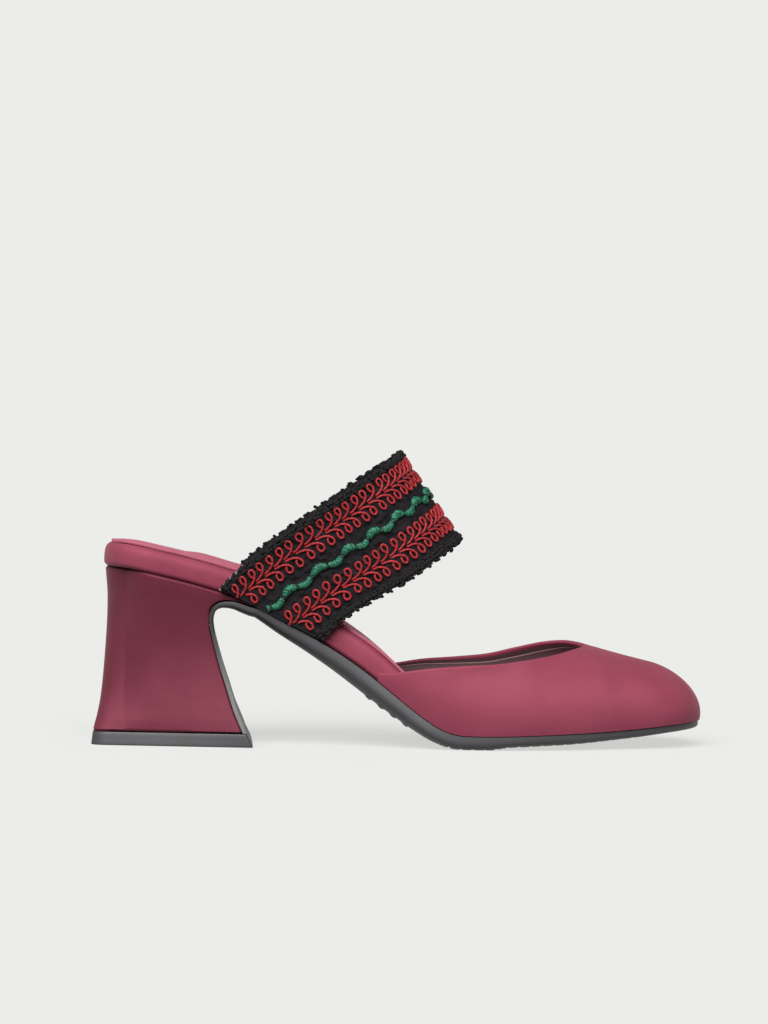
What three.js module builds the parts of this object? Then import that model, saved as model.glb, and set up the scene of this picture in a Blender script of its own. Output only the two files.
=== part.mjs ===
// A woman's right mule pump: a closed satin toe, an open heel, a braided strap over the instep and a
// flared block heel. Millimetres, +X to the toe, +Y to the inner (medial) side, +Z up, floor at Z = 0.
// Each piece is a closed solid of its own, and neighbouring pieces stay a seam's width apart.
import * as THREE from 'three';
import { mergeVertices } from 'three/addons/utils/BufferGeometryUtils.js';

// Driving dimensions
const shoeLength = 231; // heel seat to toe tip, along the floor
const ballWidth = 78; // across the sole at the toe joints
const seatHeight = 67.4; // floor to the underside of the footbed, at the back of the heel
const toeSpring = 4.7; // lift of the sole's upper edge at the toe tip
const soleThickness = 5.4; // outsole at the ball
const toeTuck = 0.7; // from the vamp's edge in to the outsole's, round the toe
const flapThickness = 1.4; // outsole where it runs down the heel's breast
const liftThickness = 5; // rubber top piece under the heel
const footbedThickness = 8.8; // wrapped board at the heel and waist
const forepartShare = 0.5; // of that thickness, inside the vamp
const sockThickness = 1; // lining that covers the footbed
const sockInset = 2.4; // from the footbed's edge to the sock's
const archPad = 1.3; // rise of the sock along the inner arch
const vampWall = 1.6; // satin, backing and lining together
const throatHeight = 31.6; // of the vamp's throat above the sole's edge
const toeBoxHeight = 25.2; // of the vamp's ridge where the toe box begins
const vampBulge = 3.1; // pull of the vamp's swell past the sole's edge
const seam = 0.3; // space between pieces that touch
const heelTopInset = 1.6; // from the sole's outline to the heel's top
const heelNip = 3.2; // how far each side of the heel draws in at its waist
const heelBaseLength = 56.2; // along the bottom of the covered heel
const heelBaseBackWidth = 47; // across the back of the heel's base
const heelBaseFrontWidth = 65; // across the front of the heel's base
const heelBackKick = 2.4; // how far the heel's base stands back of the seat's end
const breastSetback = 40.7; // from the seat's end to the heel's narrowest front
const breastRise = 49.5; // of the breast curve above the lift
const liftFlare = 0.7; // how far the top piece spreads towards the floor
const liftToe = 2; // further forward at its front edge, on the floor
const strapWidth = 39.6; // across the ribbon
const strapLean = 35.2; // degrees that the strap rises towards the toe
const strapCrestForward = 111.5; // rear edge's highest point, from the seat's end
const strapCrestHeight = 109.4; // the same point above the floor, inside the strap
const strapWaist = 3; // how far the front edge is drawn back half way up
const strapGather = 6; // how far the rear edge is drawn forward where it tucks in
const strapTuckGap = 0.5; // from the ribbon's ends to the outsole they tuck onto
const strapTopRadius = 26; // inside, where it turns over the instep
const strapLiningThickness = 0.9;
const braidThickness = 1.4; // woven ground of the ribbon
const braidRelief = 0.9; // raised gimp on the ground
const waveCordWidth = 2.6;
const waveCordHeight = 1.5;
const waveEndGap = 1.5; // from the cord's ends to the ribbon's
const wavePitch = 13.4;
const waveSwing = 1.1; // each side of its middle line
const waveShare = 0.48; // of the ribbon's width, from the rear edge to that line

// Facets
const heelColumns = 11;
const heelLayers = 18;
const flapSteps = 18;
const treadSteps = 34;
const bedSteps = 40;
const sockColumns = 6;
const wingRibs = 18;
const toeRibs = 13;
const ribSteps = 11;
const strapSteps = 40;
const cordSides = 6;
const cordStepsPerWave = 6;

// Outline of the sole's upper edge. at is a share of the length; axis, lateral and medial are shares
// of half the ball width, the last two measured from the axis.
const outlineRows = [
  { at: 0.0, axis: 0, lateral: 0.66, medial: 0.66 },
  { at: 0.11, axis: 0, lateral: 0.69, medial: 0.69 },
  { at: 0.2, axis: 0, lateral: 0.69, medial: 0.675 },
  { at: 0.285, axis: 0, lateral: 0.68, medial: 0.64 },
  { at: 0.37, axis: 0, lateral: 0.705, medial: 0.645 },
  { at: 0.435, axis: 0, lateral: 0.765, medial: 0.695 },
  { at: 0.5, axis: 0, lateral: 0.86, medial: 0.785 },
  { at: 0.565, axis: 0, lateral: 0.95, medial: 0.885 },
  { at: 0.62, axis: 0.005, lateral: 1.0, medial: 0.96 },
  { at: 0.68, axis: 0.013, lateral: 1.005, medial: 0.99 },
  { at: 0.745, axis: 0.033, lateral: 0.97, medial: 0.955 },
  { at: 0.815, axis: 0.06, lateral: 0.89, medial: 0.875 },
  { at: 0.88, axis: 0.085, lateral: 0.8, medial: 0.775 },
  { at: 0.94, axis: 0.103, lateral: 0.73, medial: 0.69 },
  { at: 1.0, axis: 0.115, lateral: 0.68, medial: 0.63 },
];
const heelRound = { share: 0.1, power: 2.2 }; // rounded back end of the outline
const toeRound = { share: 0.117, power: 2.4 }; // softly squared front end

// Side profile. rise is a share of the seat's height over the ball, spring of the toe spring, and sole
// the outsole's thickness as a share of soleThickness.
const profileRows = [
  { at: 0.0, rise: 1.0, spring: 0, sole: 0.5 },
  { at: 0.045, rise: 0.986, spring: 0, sole: 0.5 },
  { at: 0.09, rise: 0.951, spring: 0, sole: 0.5 },
  { at: 0.143, rise: 0.905, spring: 0, sole: 0.52 },
  { at: 0.195, rise: 0.851, spring: 0, sole: 0.56 },
  { at: 0.23, rise: 0.81, spring: 0, sole: 0.6 },
  { at: 0.26, rise: 0.752, spring: 0, sole: 0.7 },
  { at: 0.303, rise: 0.665, spring: 0, sole: 0.91 },
  { at: 0.346, rise: 0.583, spring: 0, sole: 1.09 },
  { at: 0.39, rise: 0.487, spring: 0, sole: 1.22 },
  { at: 0.433, rise: 0.378, spring: 0, sole: 1.29 },
  { at: 0.468, rise: 0.276, spring: 0, sole: 1.24 },
  { at: 0.498, rise: 0.186, spring: 0, sole: 1.14 },
  { at: 0.528, rise: 0.102, spring: 0, sole: 1.07 },
  { at: 0.554, rise: 0.041, spring: 0, sole: 1.02 },
  { at: 0.58, rise: 0.007, spring: 0, sole: 1.03 },
  { at: 0.61, rise: 0, spring: 0, sole: 1.03 },
  { at: 0.635, rise: 0, spring: 0, sole: 1.02 },
  { at: 0.66, rise: 0, spring: 0.01, sole: 0.86 },
  { at: 0.71, rise: 0, spring: 0.085, sole: 0.8 },
  { at: 0.78, rise: 0, spring: 0.22, sole: 0.77 },
  { at: 0.86, rise: 0, spring: 0.45, sole: 0.65 },
  { at: 0.94, rise: 0, spring: 0.8, sole: 0.57 },
  { at: 1.0, rise: 0, spring: 1, sole: 0.5 },
];

// Breast of the heel, bottom to top and forwards over the bend. up is a share of breastRise above the
// lift, and fore of the room between the narrowest front and the front of the base.
const breastRows = [
  { up: 0.0, fore: 1.0 },
  { up: 0.07, fore: 0.88 },
  { up: 0.17, fore: 0.72 },
  { up: 0.333, fore: 0.52 },
  { up: 0.475, fore: 0.34 },
  { up: 0.64, fore: 0.16 },
  { up: 0.77, fore: 0.04 },
  { up: 0.87, fore: 0.0 },
  { up: 0.94, fore: 0.07 },
  { up: 0.983, fore: 0.25 },
  { up: 1.0, fore: 0.5 },
  { up: 0.995, fore: 0.79 },
  { up: 0.97, fore: 1.08 },
  { up: 0.955, fore: 1.26 },
];

// The heel from base to seat. up is a share of its height, kick of heelBackKick, nip of heelNip, and
// flare is how much of the base's shape is left in the section.
const heelRows = [
  { up: 0.0, kick: -1.0, nip: 0.0, flare: 1.0 },
  { up: 0.06, kick: -0.6, nip: 0.06, flare: 0.86 },
  { up: 0.14, kick: -0.2, nip: 0.22, flare: 0.69 },
  { up: 0.25, kick: 0.16, nip: 0.5, flare: 0.48 },
  { up: 0.4, kick: 0.5, nip: 0.84, flare: 0.27 },
  { up: 0.55, kick: 0.72, nip: 1.0, flare: 0.13 },
  { up: 0.7, kick: 0.85, nip: 0.84, flare: 0.06 },
  { up: 0.85, kick: 0.82, nip: 0.42, flare: 0.02 },
  { up: 0.95, kick: 0.6, nip: 0.1, flare: 0.0 },
  { up: 1.0, kick: 0.5, nip: 0.0, flare: 0.0 },
];

// The vamp. foot and top are shares of the shoe's length where a rib leaves the sole's edge and where
// it ends, on the topline or, past the throat, on the ridge. low is the topline's height as a share of
// throatHeight, medialUp what the inner side adds to it, and open is the topline's distance from the
// ridge as a share of the outline's half width.
// fill rounds the rib out, and lean is the rib's slope at its top, from 1 upright to 0 level.
const vampRows = [
  { foot: 0.452, top: 0.455, low: 0.69, medialUp: 0.0, open: 1.0, fill: 0.4, lean: 1 },
  { foot: 0.471, top: 0.473, low: 0.69, medialUp: 0.0, open: 1.005, fill: 0.45, lean: 1 },
  { foot: 0.498, top: 0.5, low: 0.715, medialUp: 0.0, open: 1.01, fill: 0.5, lean: 0.98 },
  { foot: 0.543, top: 0.543, low: 0.76, medialUp: 0.0, open: 0.99, fill: 0.5, lean: 0.95 },
  { foot: 0.6, top: 0.598, low: 0.79, medialUp: 0.0, open: 0.93, fill: 0.5, lean: 0.88 },
  { foot: 0.662, top: 0.652, low: 0.813, medialUp: 0.02, open: 0.85, fill: 0.51, lean: 0.77 },
  { foot: 0.72, top: 0.7, low: 0.858, medialUp: 0.065, open: 0.745, fill: 0.52, lean: 0.62 },
  { foot: 0.765, top: 0.742, low: 0.908, medialUp: 0.095, open: 0.605, fill: 0.54, lean: 0.44 },
  { foot: 0.803, top: 0.775, low: 0.958, medialUp: 0.075, open: 0.44, fill: 0.56, lean: 0.26 },
  { foot: 0.832, top: 0.797, low: 0.988, medialUp: 0.03, open: 0.24, fill: 0.57, lean: 0.1 },
  { foot: 0.853, top: 0.808, low: 1.0, medialUp: 0.0, open: 0.0, fill: 0.57, lean: 0 },
];
// Ridge of the vamp ahead of the throat: height falls from the throat's share to the toe box's.
const ridgeRows = [
  { at: 0.808, fall: 0.0 },
  { at: 0.835, fall: 0.265 },
  { at: 0.862, fall: 0.525 },
  { at: 0.889, fall: 0.775 },
  { at: 0.915, fall: 1.0 },
];
const ridgeLean = 0.04; // how far the ridge lies to the inner side, as a share of half the ball width
const toeFill = 0.5;
const swellTurn = 0.5; // rib from which the swell begins to turn from square to the shoe to the toe
const wallSplay = 0.12; // outward lean of the side walls under the topline
const wallReach = 0.34; // share of the height over which they keep it

// Relief across the ribbon. across is a share of its width and relief of braidRelief: rolled edges,
// two gimps with a groove down their middles, and the plain ground between them.
const ribbonRows = [
  { across: 0.0, relief: 0.1 },
  { across: 0.035, relief: 0.6 },
  { across: 0.105, relief: 0.3 },
  { across: 0.13, relief: 1.0 },
  { across: 0.235, relief: 1.0 },
  { across: 0.25, relief: 0.4 },
  { across: 0.265, relief: 1.0 },
  { across: 0.375, relief: 1.0 },
  { across: 0.4, relief: 0.0 },
  { across: 0.6, relief: 0.0 },
  { across: 0.625, relief: 1.0 },
  { across: 0.735, relief: 1.0 },
  { across: 0.75, relief: 0.4 },
  { across: 0.765, relief: 1.0 },
  { across: 0.87, relief: 1.0 },
  { across: 0.895, relief: 0.3 },
  { across: 0.965, relief: 0.6 },
  { across: 1.0, relief: 0.1 },
];

// Curves through tables

const clamp = (x, low, high) => Math.min(high, Math.max(low, x));
const mix = (a, b, t) => a + (b - a) * t;
const ease = (t) => t * t * (3 - 2 * t);
const easeOver = (x, from, to) => ease(clamp((x - from) / (to - from), 0, 1));
const steps = (count) => Array.from({ length: count + 1 }, (_, i) => i / count);

// A smooth function of one column, by cubic pieces whose slopes are the parabola's through three rows.
function column(rows, by, key) {
  const xs = rows.map((row) => row[by]);
  const ys = rows.map((row) => row[key]);
  const pieces = xs.slice(1).map((x, i) => (ys[i + 1] - ys[i]) / (x - xs[i]));
  const slopes = xs.map((_, i) => {
    if (i === 0) return pieces[0];
    if (i === xs.length - 1) return pieces[i - 1];
    const before = xs[i] - xs[i - 1];
    const after = xs[i + 1] - xs[i];
    return (pieces[i - 1] * after + pieces[i] * before) / (before + after);
  });
  return (x) => {
    const at = clamp(x, xs[0], xs[xs.length - 1]);
    let i = 0;
    while (i < xs.length - 2 && at > xs[i + 1]) i++;
    const span = xs[i + 1] - xs[i];
    const t = (at - xs[i]) / span;
    const rise = ys[i + 1] - ys[i];
    const bend = (1 - t) * (slopes[i] * span - rise) + t * (rise - slopes[i + 1] * span);
    return mix(ys[i], ys[i + 1], t) + t * (1 - t) * bend;
  };
}

// Share of the full width that a rounded end leaves at a distance from its tip.
function roundedEnd(distance, round) {
  const reach = round.share * shoeLength;
  if (distance >= reach) return 1;
  const t = 1 - Math.max(distance, 0) / reach;
  return Math.pow(1 - Math.pow(t, round.power), 1 / round.power);
}

// The last: outline and side profile

const halfBall = ballWidth / 2;
const tipGap = 0.02; // the last station lies just inside the outline's tip
const outline = {
  axis: column(outlineRows, 'at', 'axis'),
  lateral: column(outlineRows, 'at', 'lateral'),
  medial: column(outlineRows, 'at', 'medial'),
};
const axisAt = (x) => outline.axis(x / shoeLength) * halfBall;

// Distance from the axis to the sole's upper edge on one side, -1 lateral or +1 medial.
function halfWidth(x, side) {
  const ends = roundedEnd(x, heelRound) * roundedEnd(shoeLength - x, toeRound);
  return (side < 0 ? outline.lateral : outline.medial)(x / shoeLength) * halfBall * ends;
}

const rise = column(profileRows, 'at', 'rise');
const spring = column(profileRows, 'at', 'spring');
const soleShare = column(profileRows, 'at', 'sole');
const seatRise = seatHeight - soleThickness;
const featherHeight = (x) =>
  soleThickness + rise(x / shoeLength) * seatRise + spring(x / shoeLength) * toeSpring;

// A point of a side profile with the unit normal that points up out of the footbed's side of it.
function station(x, z, dx, dz) {
  const length = Math.hypot(dx, dz);
  return { x, z, normal: new THREE.Vector3(-dz / length, 0, dx / length) };
}
function featherStation(x) {
  const half = 0.5;
  return station(x, featherHeight(x), 2 * half, featherHeight(x + half) - featherHeight(x - half));
}

// Distances along the shoe with more stations in the rounded ends.
function spread(from, to, count, tightStart, tightEnd) {
  return steps(count).map((t) => {
    let s = t;
    if (tightStart && tightEnd) s = (1 - Math.cos(Math.PI * t)) / 2;
    else if (tightEnd) s = mix(t, Math.sin((Math.PI / 2) * t), 0.6);
    return mix(from, to, s);
  });
}

// Meshes

class Shell {
  constructor() {
    this.positions = [];
    this.triangles = [];
  }
  point(p) {
    this.positions.push(p.x, p.y, p.z);
    return this.positions.length / 3 - 1;
  }
  row(points) {
    return points.map((p) => this.point(p));
  }
  facet(a, b, c, turned) {
    if (turned) this.triangles.push(a, c, b);
    else this.triangles.push(a, b, c);
  }
  quad(a, b, c, d) {
    this.triangles.push(a, b, c, a, c, d);
  }
  // Faces between two rows of points, seen from outside with the first row below.
  strip(lower, upper) {
    for (let i = 0; i + 1 < lower.length; i++) this.quad(lower[i], lower[i + 1], upper[i + 1], upper[i]);
  }
  geometry() {
    const raw = new THREE.BufferGeometry();
    raw.setAttribute('position', new THREE.Float32BufferAttribute(this.positions, 3));
    raw.setIndex(this.triangles);
    const merged = mergeVertices(raw, 1e-3);
    const index = merged.index.array;
    const kept = [];
    for (let i = 0; i < index.length; i += 3) {
      const [a, b, c] = [index[i], index[i + 1], index[i + 2]];
      if (a !== b && b !== c && c !== a) kept.push(a, b, c);
    }
    merged.setIndex(kept);
    merged.computeVertexNormals();
    return merged;
  }
}

// A slab is a stack of rings, lowest first. A ring has a lateral and a medial list of points from the
// back to the front; the lowest and the highest ring are closed across, with a crown if given.
function slab(rings, crown = () => new THREE.Vector3(), columns = 2) {
  const shell = new Shell();
  const rows = rings.map((ring) => ({ lateral: shell.row(ring.lateral), medial: shell.row(ring.medial) }));
  for (let k = 0; k + 1 < rows.length; k++) {
    shell.strip(rows[k].lateral, rows[k + 1].lateral);
    shell.strip(rows[k + 1].medial, rows[k].medial);
    for (const end of [0, rows[k].lateral.length - 1]) {
      const [here, next] = [rows[k], rows[k + 1]];
      const around = [here.lateral[end], next.lateral[end], next.medial[end], here.medial[end]];
      if (end > 0) around.reverse();
      shell.quad(...around);
    }
  }
  const cap = (ring, row, upward) => {
    const last = row.lateral.length - 1;
    const lines = [row.lateral.slice(1, last)];
    for (let c = 1; c < columns; c++) {
      const inner = ring.lateral.slice(1, last);
      const line = inner.map((p, i) => p.clone().lerp(ring.medial[i + 1], c / columns));
      if (upward) line.forEach((p) => p.add(crown(p, c / columns)));
      lines.push(shell.row(line));
    }
    lines.push(row.medial.slice(1, last));
    const back = lines.map((line) => line[0]);
    const front = lines.map((line) => line[line.length - 1]);
    for (let c = 0; c < columns; c++) {
      if (upward) shell.strip(lines[c], lines[c + 1]);
      else shell.strip(lines[c + 1], lines[c]);
      shell.facet(row.lateral[0], back[c], back[c + 1], !upward);
      shell.facet(row.lateral[last], front[c + 1], front[c], !upward);
    }
    shell.facet(row.lateral[0], row.medial[1], row.medial[0], !upward);
    shell.facet(row.lateral[last], row.medial[last], row.medial[last - 1], !upward);
  };
  cap(rings[0], rows[0], false);
  cap(rings[rings.length - 1], rows[rows.length - 1], true);
  return shell.geometry();
}

// Moves an edge line inwards in its own surface and along the normals.
function shifted(line, normals, inward, insets, heights) {
  return line.map((p, i) => {
    const along = line[Math.min(i + 1, line.length - 1)].clone().sub(line[Math.max(i - 1, 0)]);
    const across = new THREE.Vector3().crossVectors(along, normals[i]).normalize();
    return p.clone().addScaledVector(across, inward * insets[i]).addScaledVector(normals[i], heights[i]);
  });
}

// The two edges of a piece that follows the sole's outline at an inset, as lines of points. The inset
// is taken square to the edge, so the piece ends short of the heel and toe by the same amount.
function edges(stations, widthAt) {
  const side = (sign) =>
    stations.map((s) => new THREE.Vector3(s.x, axisAt(s.x) + sign * widthAt(s, sign), s.z));
  return { lateral: side(-1), medial: side(1), normals: stations.map((s) => s.normal) };
}
function ring(edge, insets, heights) {
  return {
    lateral: meetEnds(shifted(edge.lateral, edge.normals, -1, insets, heights)),
    medial: meetEnds(shifted(edge.medial, edge.normals, 1, insets, heights)),
  };
}
// Where an inset edge has crossed the axis at a rounded end, its points gather on the axis.
function meetEnds(line) {
  const side = Math.sign(line[Math.floor(line.length / 2)].y - axisAt(line[Math.floor(line.length / 2)].x));
  return line.map((p) => (side * (p.y - axisAt(p.x)) < 0 ? p.clone().setY(axisAt(p.x)) : p));
}

// Materials

const finish = {
  satin: new THREE.MeshStandardMaterial({ color: 0x8c3a4c, roughness: 0.45, metalness: 0 }),
  rubber: new THREE.MeshStandardMaterial({ color: 0x45444a, roughness: 0.6, metalness: 0 }),
  lining: new THREE.MeshStandardMaterial({ color: 0x7d3446, roughness: 0.7, metalness: 0 }),
  braid: new THREE.MeshStandardMaterial({ color: 0x141316, roughness: 0.95, metalness: 0 }),
  cord: new THREE.MeshStandardMaterial({ color: 0x137a5a, roughness: 0.6, metalness: 0 }),
};
const shoe = new THREE.Group();
function piece(name, geometry, material) {
  const mesh = new THREE.Mesh(geometry, material);
  mesh.name = name;
  shoe.add(mesh);
}

// Heel: a flared block under the seat, hollowed in front by the breast curve

const baseFront = heelBaseLength - heelBackKick;
const heelTop = (x) => featherHeight(x) - seam;
const breastPoint = (row) =>
  new THREE.Vector3(mix(breastSetback, baseFront, row.fore), 0, liftThickness + seam + row.up * breastRise);
const breastCurve = new THREE.CatmullRomCurve3(breastRows.map(breastPoint), false, 'centripetal');
const heelShape = {
  kick: column(heelRows, 'up', 'kick'),
  nip: column(heelRows, 'up', 'nip'),
  flare: column(heelRows, 'up', 'flare'),
};
const heelShareAt = (x, z) => (z - liftThickness - seam) / (heelTop(x) - liftThickness - seam);
const heelBack = (up) => heelShape.kick(up) * heelBackKick;
const heelRoundReach = 0.4 * heelRound.share * shoeLength;

// Half width of the heel's base, a trapezium with rounded back corners, at a share of its length.
const baseCorner = { reach: 0.09, depth: 0.14 };
function baseHalfWidth(q) {
  const turn = 1 - clamp(q / baseCorner.reach, 0, 1);
  const corner = 1 - baseCorner.depth * (1 - Math.sqrt(1 - turn * turn));
  return (mix(heelBaseBackWidth, heelBaseFrontWidth, q) / 2) * corner;
}
// Half width between the seat's rounded shape at the top and the base's at the bottom.
function heelHalfWidth(up, q, x, side) {
  const rounding = roundedEnd(x - heelBack(up), heelRound);
  const cup = (halfWidth(Math.max(x, heelRoundReach), side) - heelTopInset) * rounding;
  return mix(cup, baseHalfWidth(q), heelShape.flare(up)) - heelShape.nip(up) * heelNip * rounding;
}
function heelRing(front, up) {
  const back = heelBack(up);
  const qs = steps(heelColumns).map((t) => 1 - Math.cos((Math.PI / 2) * t));
  const line = (side) =>
    qs.map((q) => {
      const x = mix(back, front, q);
      const y = axisAt(x) + side * heelHalfWidth(up, q, x, side);
      return new THREE.Vector3(x, y, mix(liftThickness + seam, heelTop(x), up));
    });
  return { lateral: line(-1), medial: line(1) };
}
const heelStops = steps(heelLayers).map((t) => breastCurve.getPointAt(t));
const leastStep = 0.002; // between two layers under the lip, where the breast turns level
let reached = -leastStep;
const heelRings = heelStops.map((p) => {
  reached = Math.max(heelShareAt(p.x, p.z), reached + leastStep);
  return heelRing(p.x, reached);
});
heelRings.push(heelRing(heelStops[heelStops.length - 1].x, 1));
piece('heel_block', slab(heelRings), finish.satin);

// Top piece: a rubber slab that spreads a little towards the floor

const liftFront = baseFront + seam + flapThickness;
function liftRing(height, grow, front) {
  const base = heelRing(front, 0);
  const middle = new THREE.Vector3(liftFront / 2, 0, 0);
  const move = (line) =>
    line.map((p) => {
      const out = p.clone().sub(middle).setZ(0);
      return middle.clone().addScaledVector(out, 1 + grow / out.length()).setZ(height);
    });
  return { lateral: move(base.lateral), medial: move(base.medial) };
}
const liftRings = [liftRing(0, liftFlare, liftFront + liftToe), liftRing(liftThickness, 0, liftFront)];
piece('heel_lift', slab(liftRings), finish.rubber);

// Outsole: one moulding from the toe along the waist, over the bend and down the heel's breast

const bendEnd = breastCurve.getPointAt(1).x;
const joinReach = 3; // from the heel's lip to where the outsole meets the footbed
const flapCut = 0.12; // share of the flap over which its end turns level with the floor
const flapLine = steps(flapSteps).map((t) => {
  const p = breastCurve.getPointAt(t);
  const d = breastCurve.getTangentAt(t);
  return { ...station(p.x, p.z, d.x * easeOver(t, 0, flapCut), d.z), flap: t };
});
const treadEnd = shoeLength - toeTuck - tipGap;
const treadPlaces = spread(bendEnd + joinReach, treadEnd, treadSteps, false, true);
const treadLine = treadPlaces.map((x) => ({ ...featherStation(x), flap: 1 }));
const soleStations = [...flapLine, ...treadLine].map((s) => ({
  ...s,
  x: s.x - s.normal.x * seam,
  z: s.z - s.normal.z * seam,
}));
const flapBlend = (s) => easeOver(s.flap, 0.55, 0.95);
function soleHalfWidth(s, side) {
  const up = clamp(heelShareAt(Math.min(s.x, bendEnd), s.z), 0, 1);
  const breast = heelHalfWidth(up, 1, s.x, side) - seam;
  const tuck = toeTuck * easeOver(s.x / shoeLength, 0.65, 0.9);
  const tread = halfWidth(s.x + tuck, side) - tuck * roundedEnd(shoeLength - s.x - tuck, toeRound);
  return mix(breast, tread, flapBlend(s));
}
const soleDepth = (s) => mix(flapThickness, soleShare(s.x / shoeLength) * soleThickness, flapBlend(s));
const soleEdge = edges(soleStations, soleHalfWidth);
// How far the underside draws in: much in the waist, little in the forepart.
const waistShare = (s) => {
  const at = s.x / shoeLength;
  return flapBlend(s) * (1 - easeOver(at, 0.44, 0.56));
};
const soleRows = [
  { inset: 6.5, waist: 6.5, depth: 1.0 },
  { inset: 2.6, waist: 3.4, depth: 0.9 },
  { inset: 0.6, waist: 0.9, depth: 0.7 },
  { inset: 0.0, waist: 0.0, depth: 0.44 },
  { inset: 0.0, waist: 0.0, depth: 0.0 },
];
function soleRing(row) {
  const line = (side, inward) =>
    soleEdge[side].map((p, i) => {
      const s = soleStations[i];
      const sides = soleEdge[side];
      const along = sides[Math.min(i + 1, sides.length - 1)].clone().sub(sides[Math.max(i - 1, 0)]);
      const across = new THREE.Vector3().crossVectors(along, s.normal).normalize();
      const forepart = flapBlend(s) * row.inset;
      const inset = mix(forepart, row.waist, waistShare(s)) * roundedEnd(shoeLength - s.x, toeRound);
      const q = p.clone().addScaledVector(across, inward * inset);
      q.addScaledVector(s.normal, -row.depth * soleDepth(s));
      if (s.flap === 1) q.z = Math.max(q.z, 0);
      return q;
    });
  return { lateral: meetEnds(line('lateral', -1)), medial: meetEnds(line('medial', 1)) };
}
piece('outsole', slab(soleRows.map(soleRing)), finish.rubber);

// Footbed: a foamed board wrapped in satin, thick at the heel and waist, thin inside the vamp

const bedInset = vampWall + seam;
const seatInset = 0.5; // the board stands nearly flush with the heel at the back
const bedInsetAt = (x) => mix(seatInset, bedInset, easeOver(x / shoeLength, 0, 0.09));
const bedStations = spread(tipGap, shoeLength - tipGap, bedSteps, true, true).map(featherStation);
const bedEdge = edges(bedStations, (s, side) => halfWidth(s.x, side));
const thinning = (x) => mix(1, forepartShare, easeOver(x / shoeLength, 0.4, 0.62));
const bedThicknessAt = (x) => footbedThickness * thinning(x);
const bedRows = [
  { inset: 1.1, up: 0.0 },
  { inset: 0.25, up: 0.09 },
  { inset: 0.0, up: 0.24 },
  { inset: 0.1, up: 0.62 },
  { inset: 0.75, up: 0.86 },
  { inset: 2.1, up: 1.0 },
];
const bedRing = (row) => {
  const insets = bedStations.map((s) => bedInsetAt(s.x) + row.inset);
  return ring(bedEdge, insets, bedStations.map((s) => row.up * bedThicknessAt(s.x)));
};
piece('footbed', slab(bedRows.map(bedRing)), finish.satin);

// Sock: the lining on the footbed, with a pad under the inner arch

function archRise(x) {
  const at = x / shoeLength;
  return archPad * easeOver(at, 0.12, 0.17) * (1 - easeOver(at, 0.36, 0.5));
}
function sockRing(inset, up) {
  const insets = bedStations.map((s) => bedInsetAt(s.x) + sockInset + inset);
  return ring(bedEdge, insets, bedStations.map((s) => bedThicknessAt(s.x) + seam + up * sockThickness));
}
const sockRings = [sockRing(0, 0), sockRing(0, 0.6), sockRing(0.8, 1)];
const padAcross = (share) => Math.pow(Math.sin(Math.PI * Math.pow(share, 1.7)), 2);
const sockCrown = (p, share) => new THREE.Vector3(0, 0, archRise(p.x) * padAcross(share));
piece('sock_lining', slab(sockRings, sockCrown, sockColumns), finish.lining);

// Vamp: ribs rise from the sole's edge to the topline, or to the ridge ahead of the throat

const vamp = Object.fromEntries(
  ['foot', 'top', 'low', 'medialUp', 'open', 'fill', 'lean'].map((key) => [
    key,
    column(vampRows.map((row, i) => ({ ...row, i: i / (vampRows.length - 1) })), 'i', key),
  ]),
);
const ridgeFall = column(ridgeRows, 'at', 'fall');
const ridgeStart = ridgeRows[0].at;
const ridgeEnd = ridgeRows[ridgeRows.length - 1].at;
const throatFloor = featherHeight(ridgeStart * shoeLength);
function ridgePoint(at) {
  const height = mix(throatHeight, toeBoxHeight, ridgeFall(at));
  const x = at * shoeLength;
  return new THREE.Vector3(x, axisAt(x) + ridgeLean * halfBall, throatFloor + height);
}
const ridgeSlope = (at) => {
  const h = 1e-3;
  const [a, b] = [ridgePoint(clamp(at - h, ridgeStart, 1)), ridgePoint(clamp(at + h, 0, ridgeEnd))];
  return (b.z - a.z) / (b.x - a.x);
};

// The foot, top and shape of a rib. Wing ribs run from 0 to 1 up to the throat, toe ribs from 1 to 2.
function ribAt(t, side) {
  const wing = Math.min(t, 1);
  const past = Math.max(t - 1, 0);
  const toe = mix(past, ease(past), 0.35);
  const footShare = mix(vamp.foot(wing), 1, Math.sin((Math.PI / 2) * toe));
  const footX = Math.min(footShare * shoeLength, shoeLength);
  const foot = new THREE.Vector3(footX, axisAt(footX) + side * halfWidth(footX, side), featherHeight(footX));
  if (t >= 1) {
    const at = mix(ridgeStart, ridgeEnd, toe);
    const top = ridgePoint(at);
    return { foot, top, slope: ridgeSlope(at), lean: 0, fill: mix(vamp.fill(1), toeFill, toe) };
  }
  const topX = vamp.top(wing) * shoeLength;
  const up = vamp.low(wing) + (side > 0 ? vamp.medialUp(wing) : 0);
  const ridgeY = axisAt(topX) + ridgeLean * halfBall * (1 - vamp.open(wing));
  const top = new THREE.Vector3(
    topX,
    ridgeY + side * vamp.open(wing) * halfWidth(topX, side),
    throatFloor + up * throatHeight,
  );
  const slope = ridgeSlope(ridgeStart) * ease(wing);
  return { foot, top, slope, lean: vamp.lean(wing), fill: vamp.fill(wing) };
}

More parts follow.
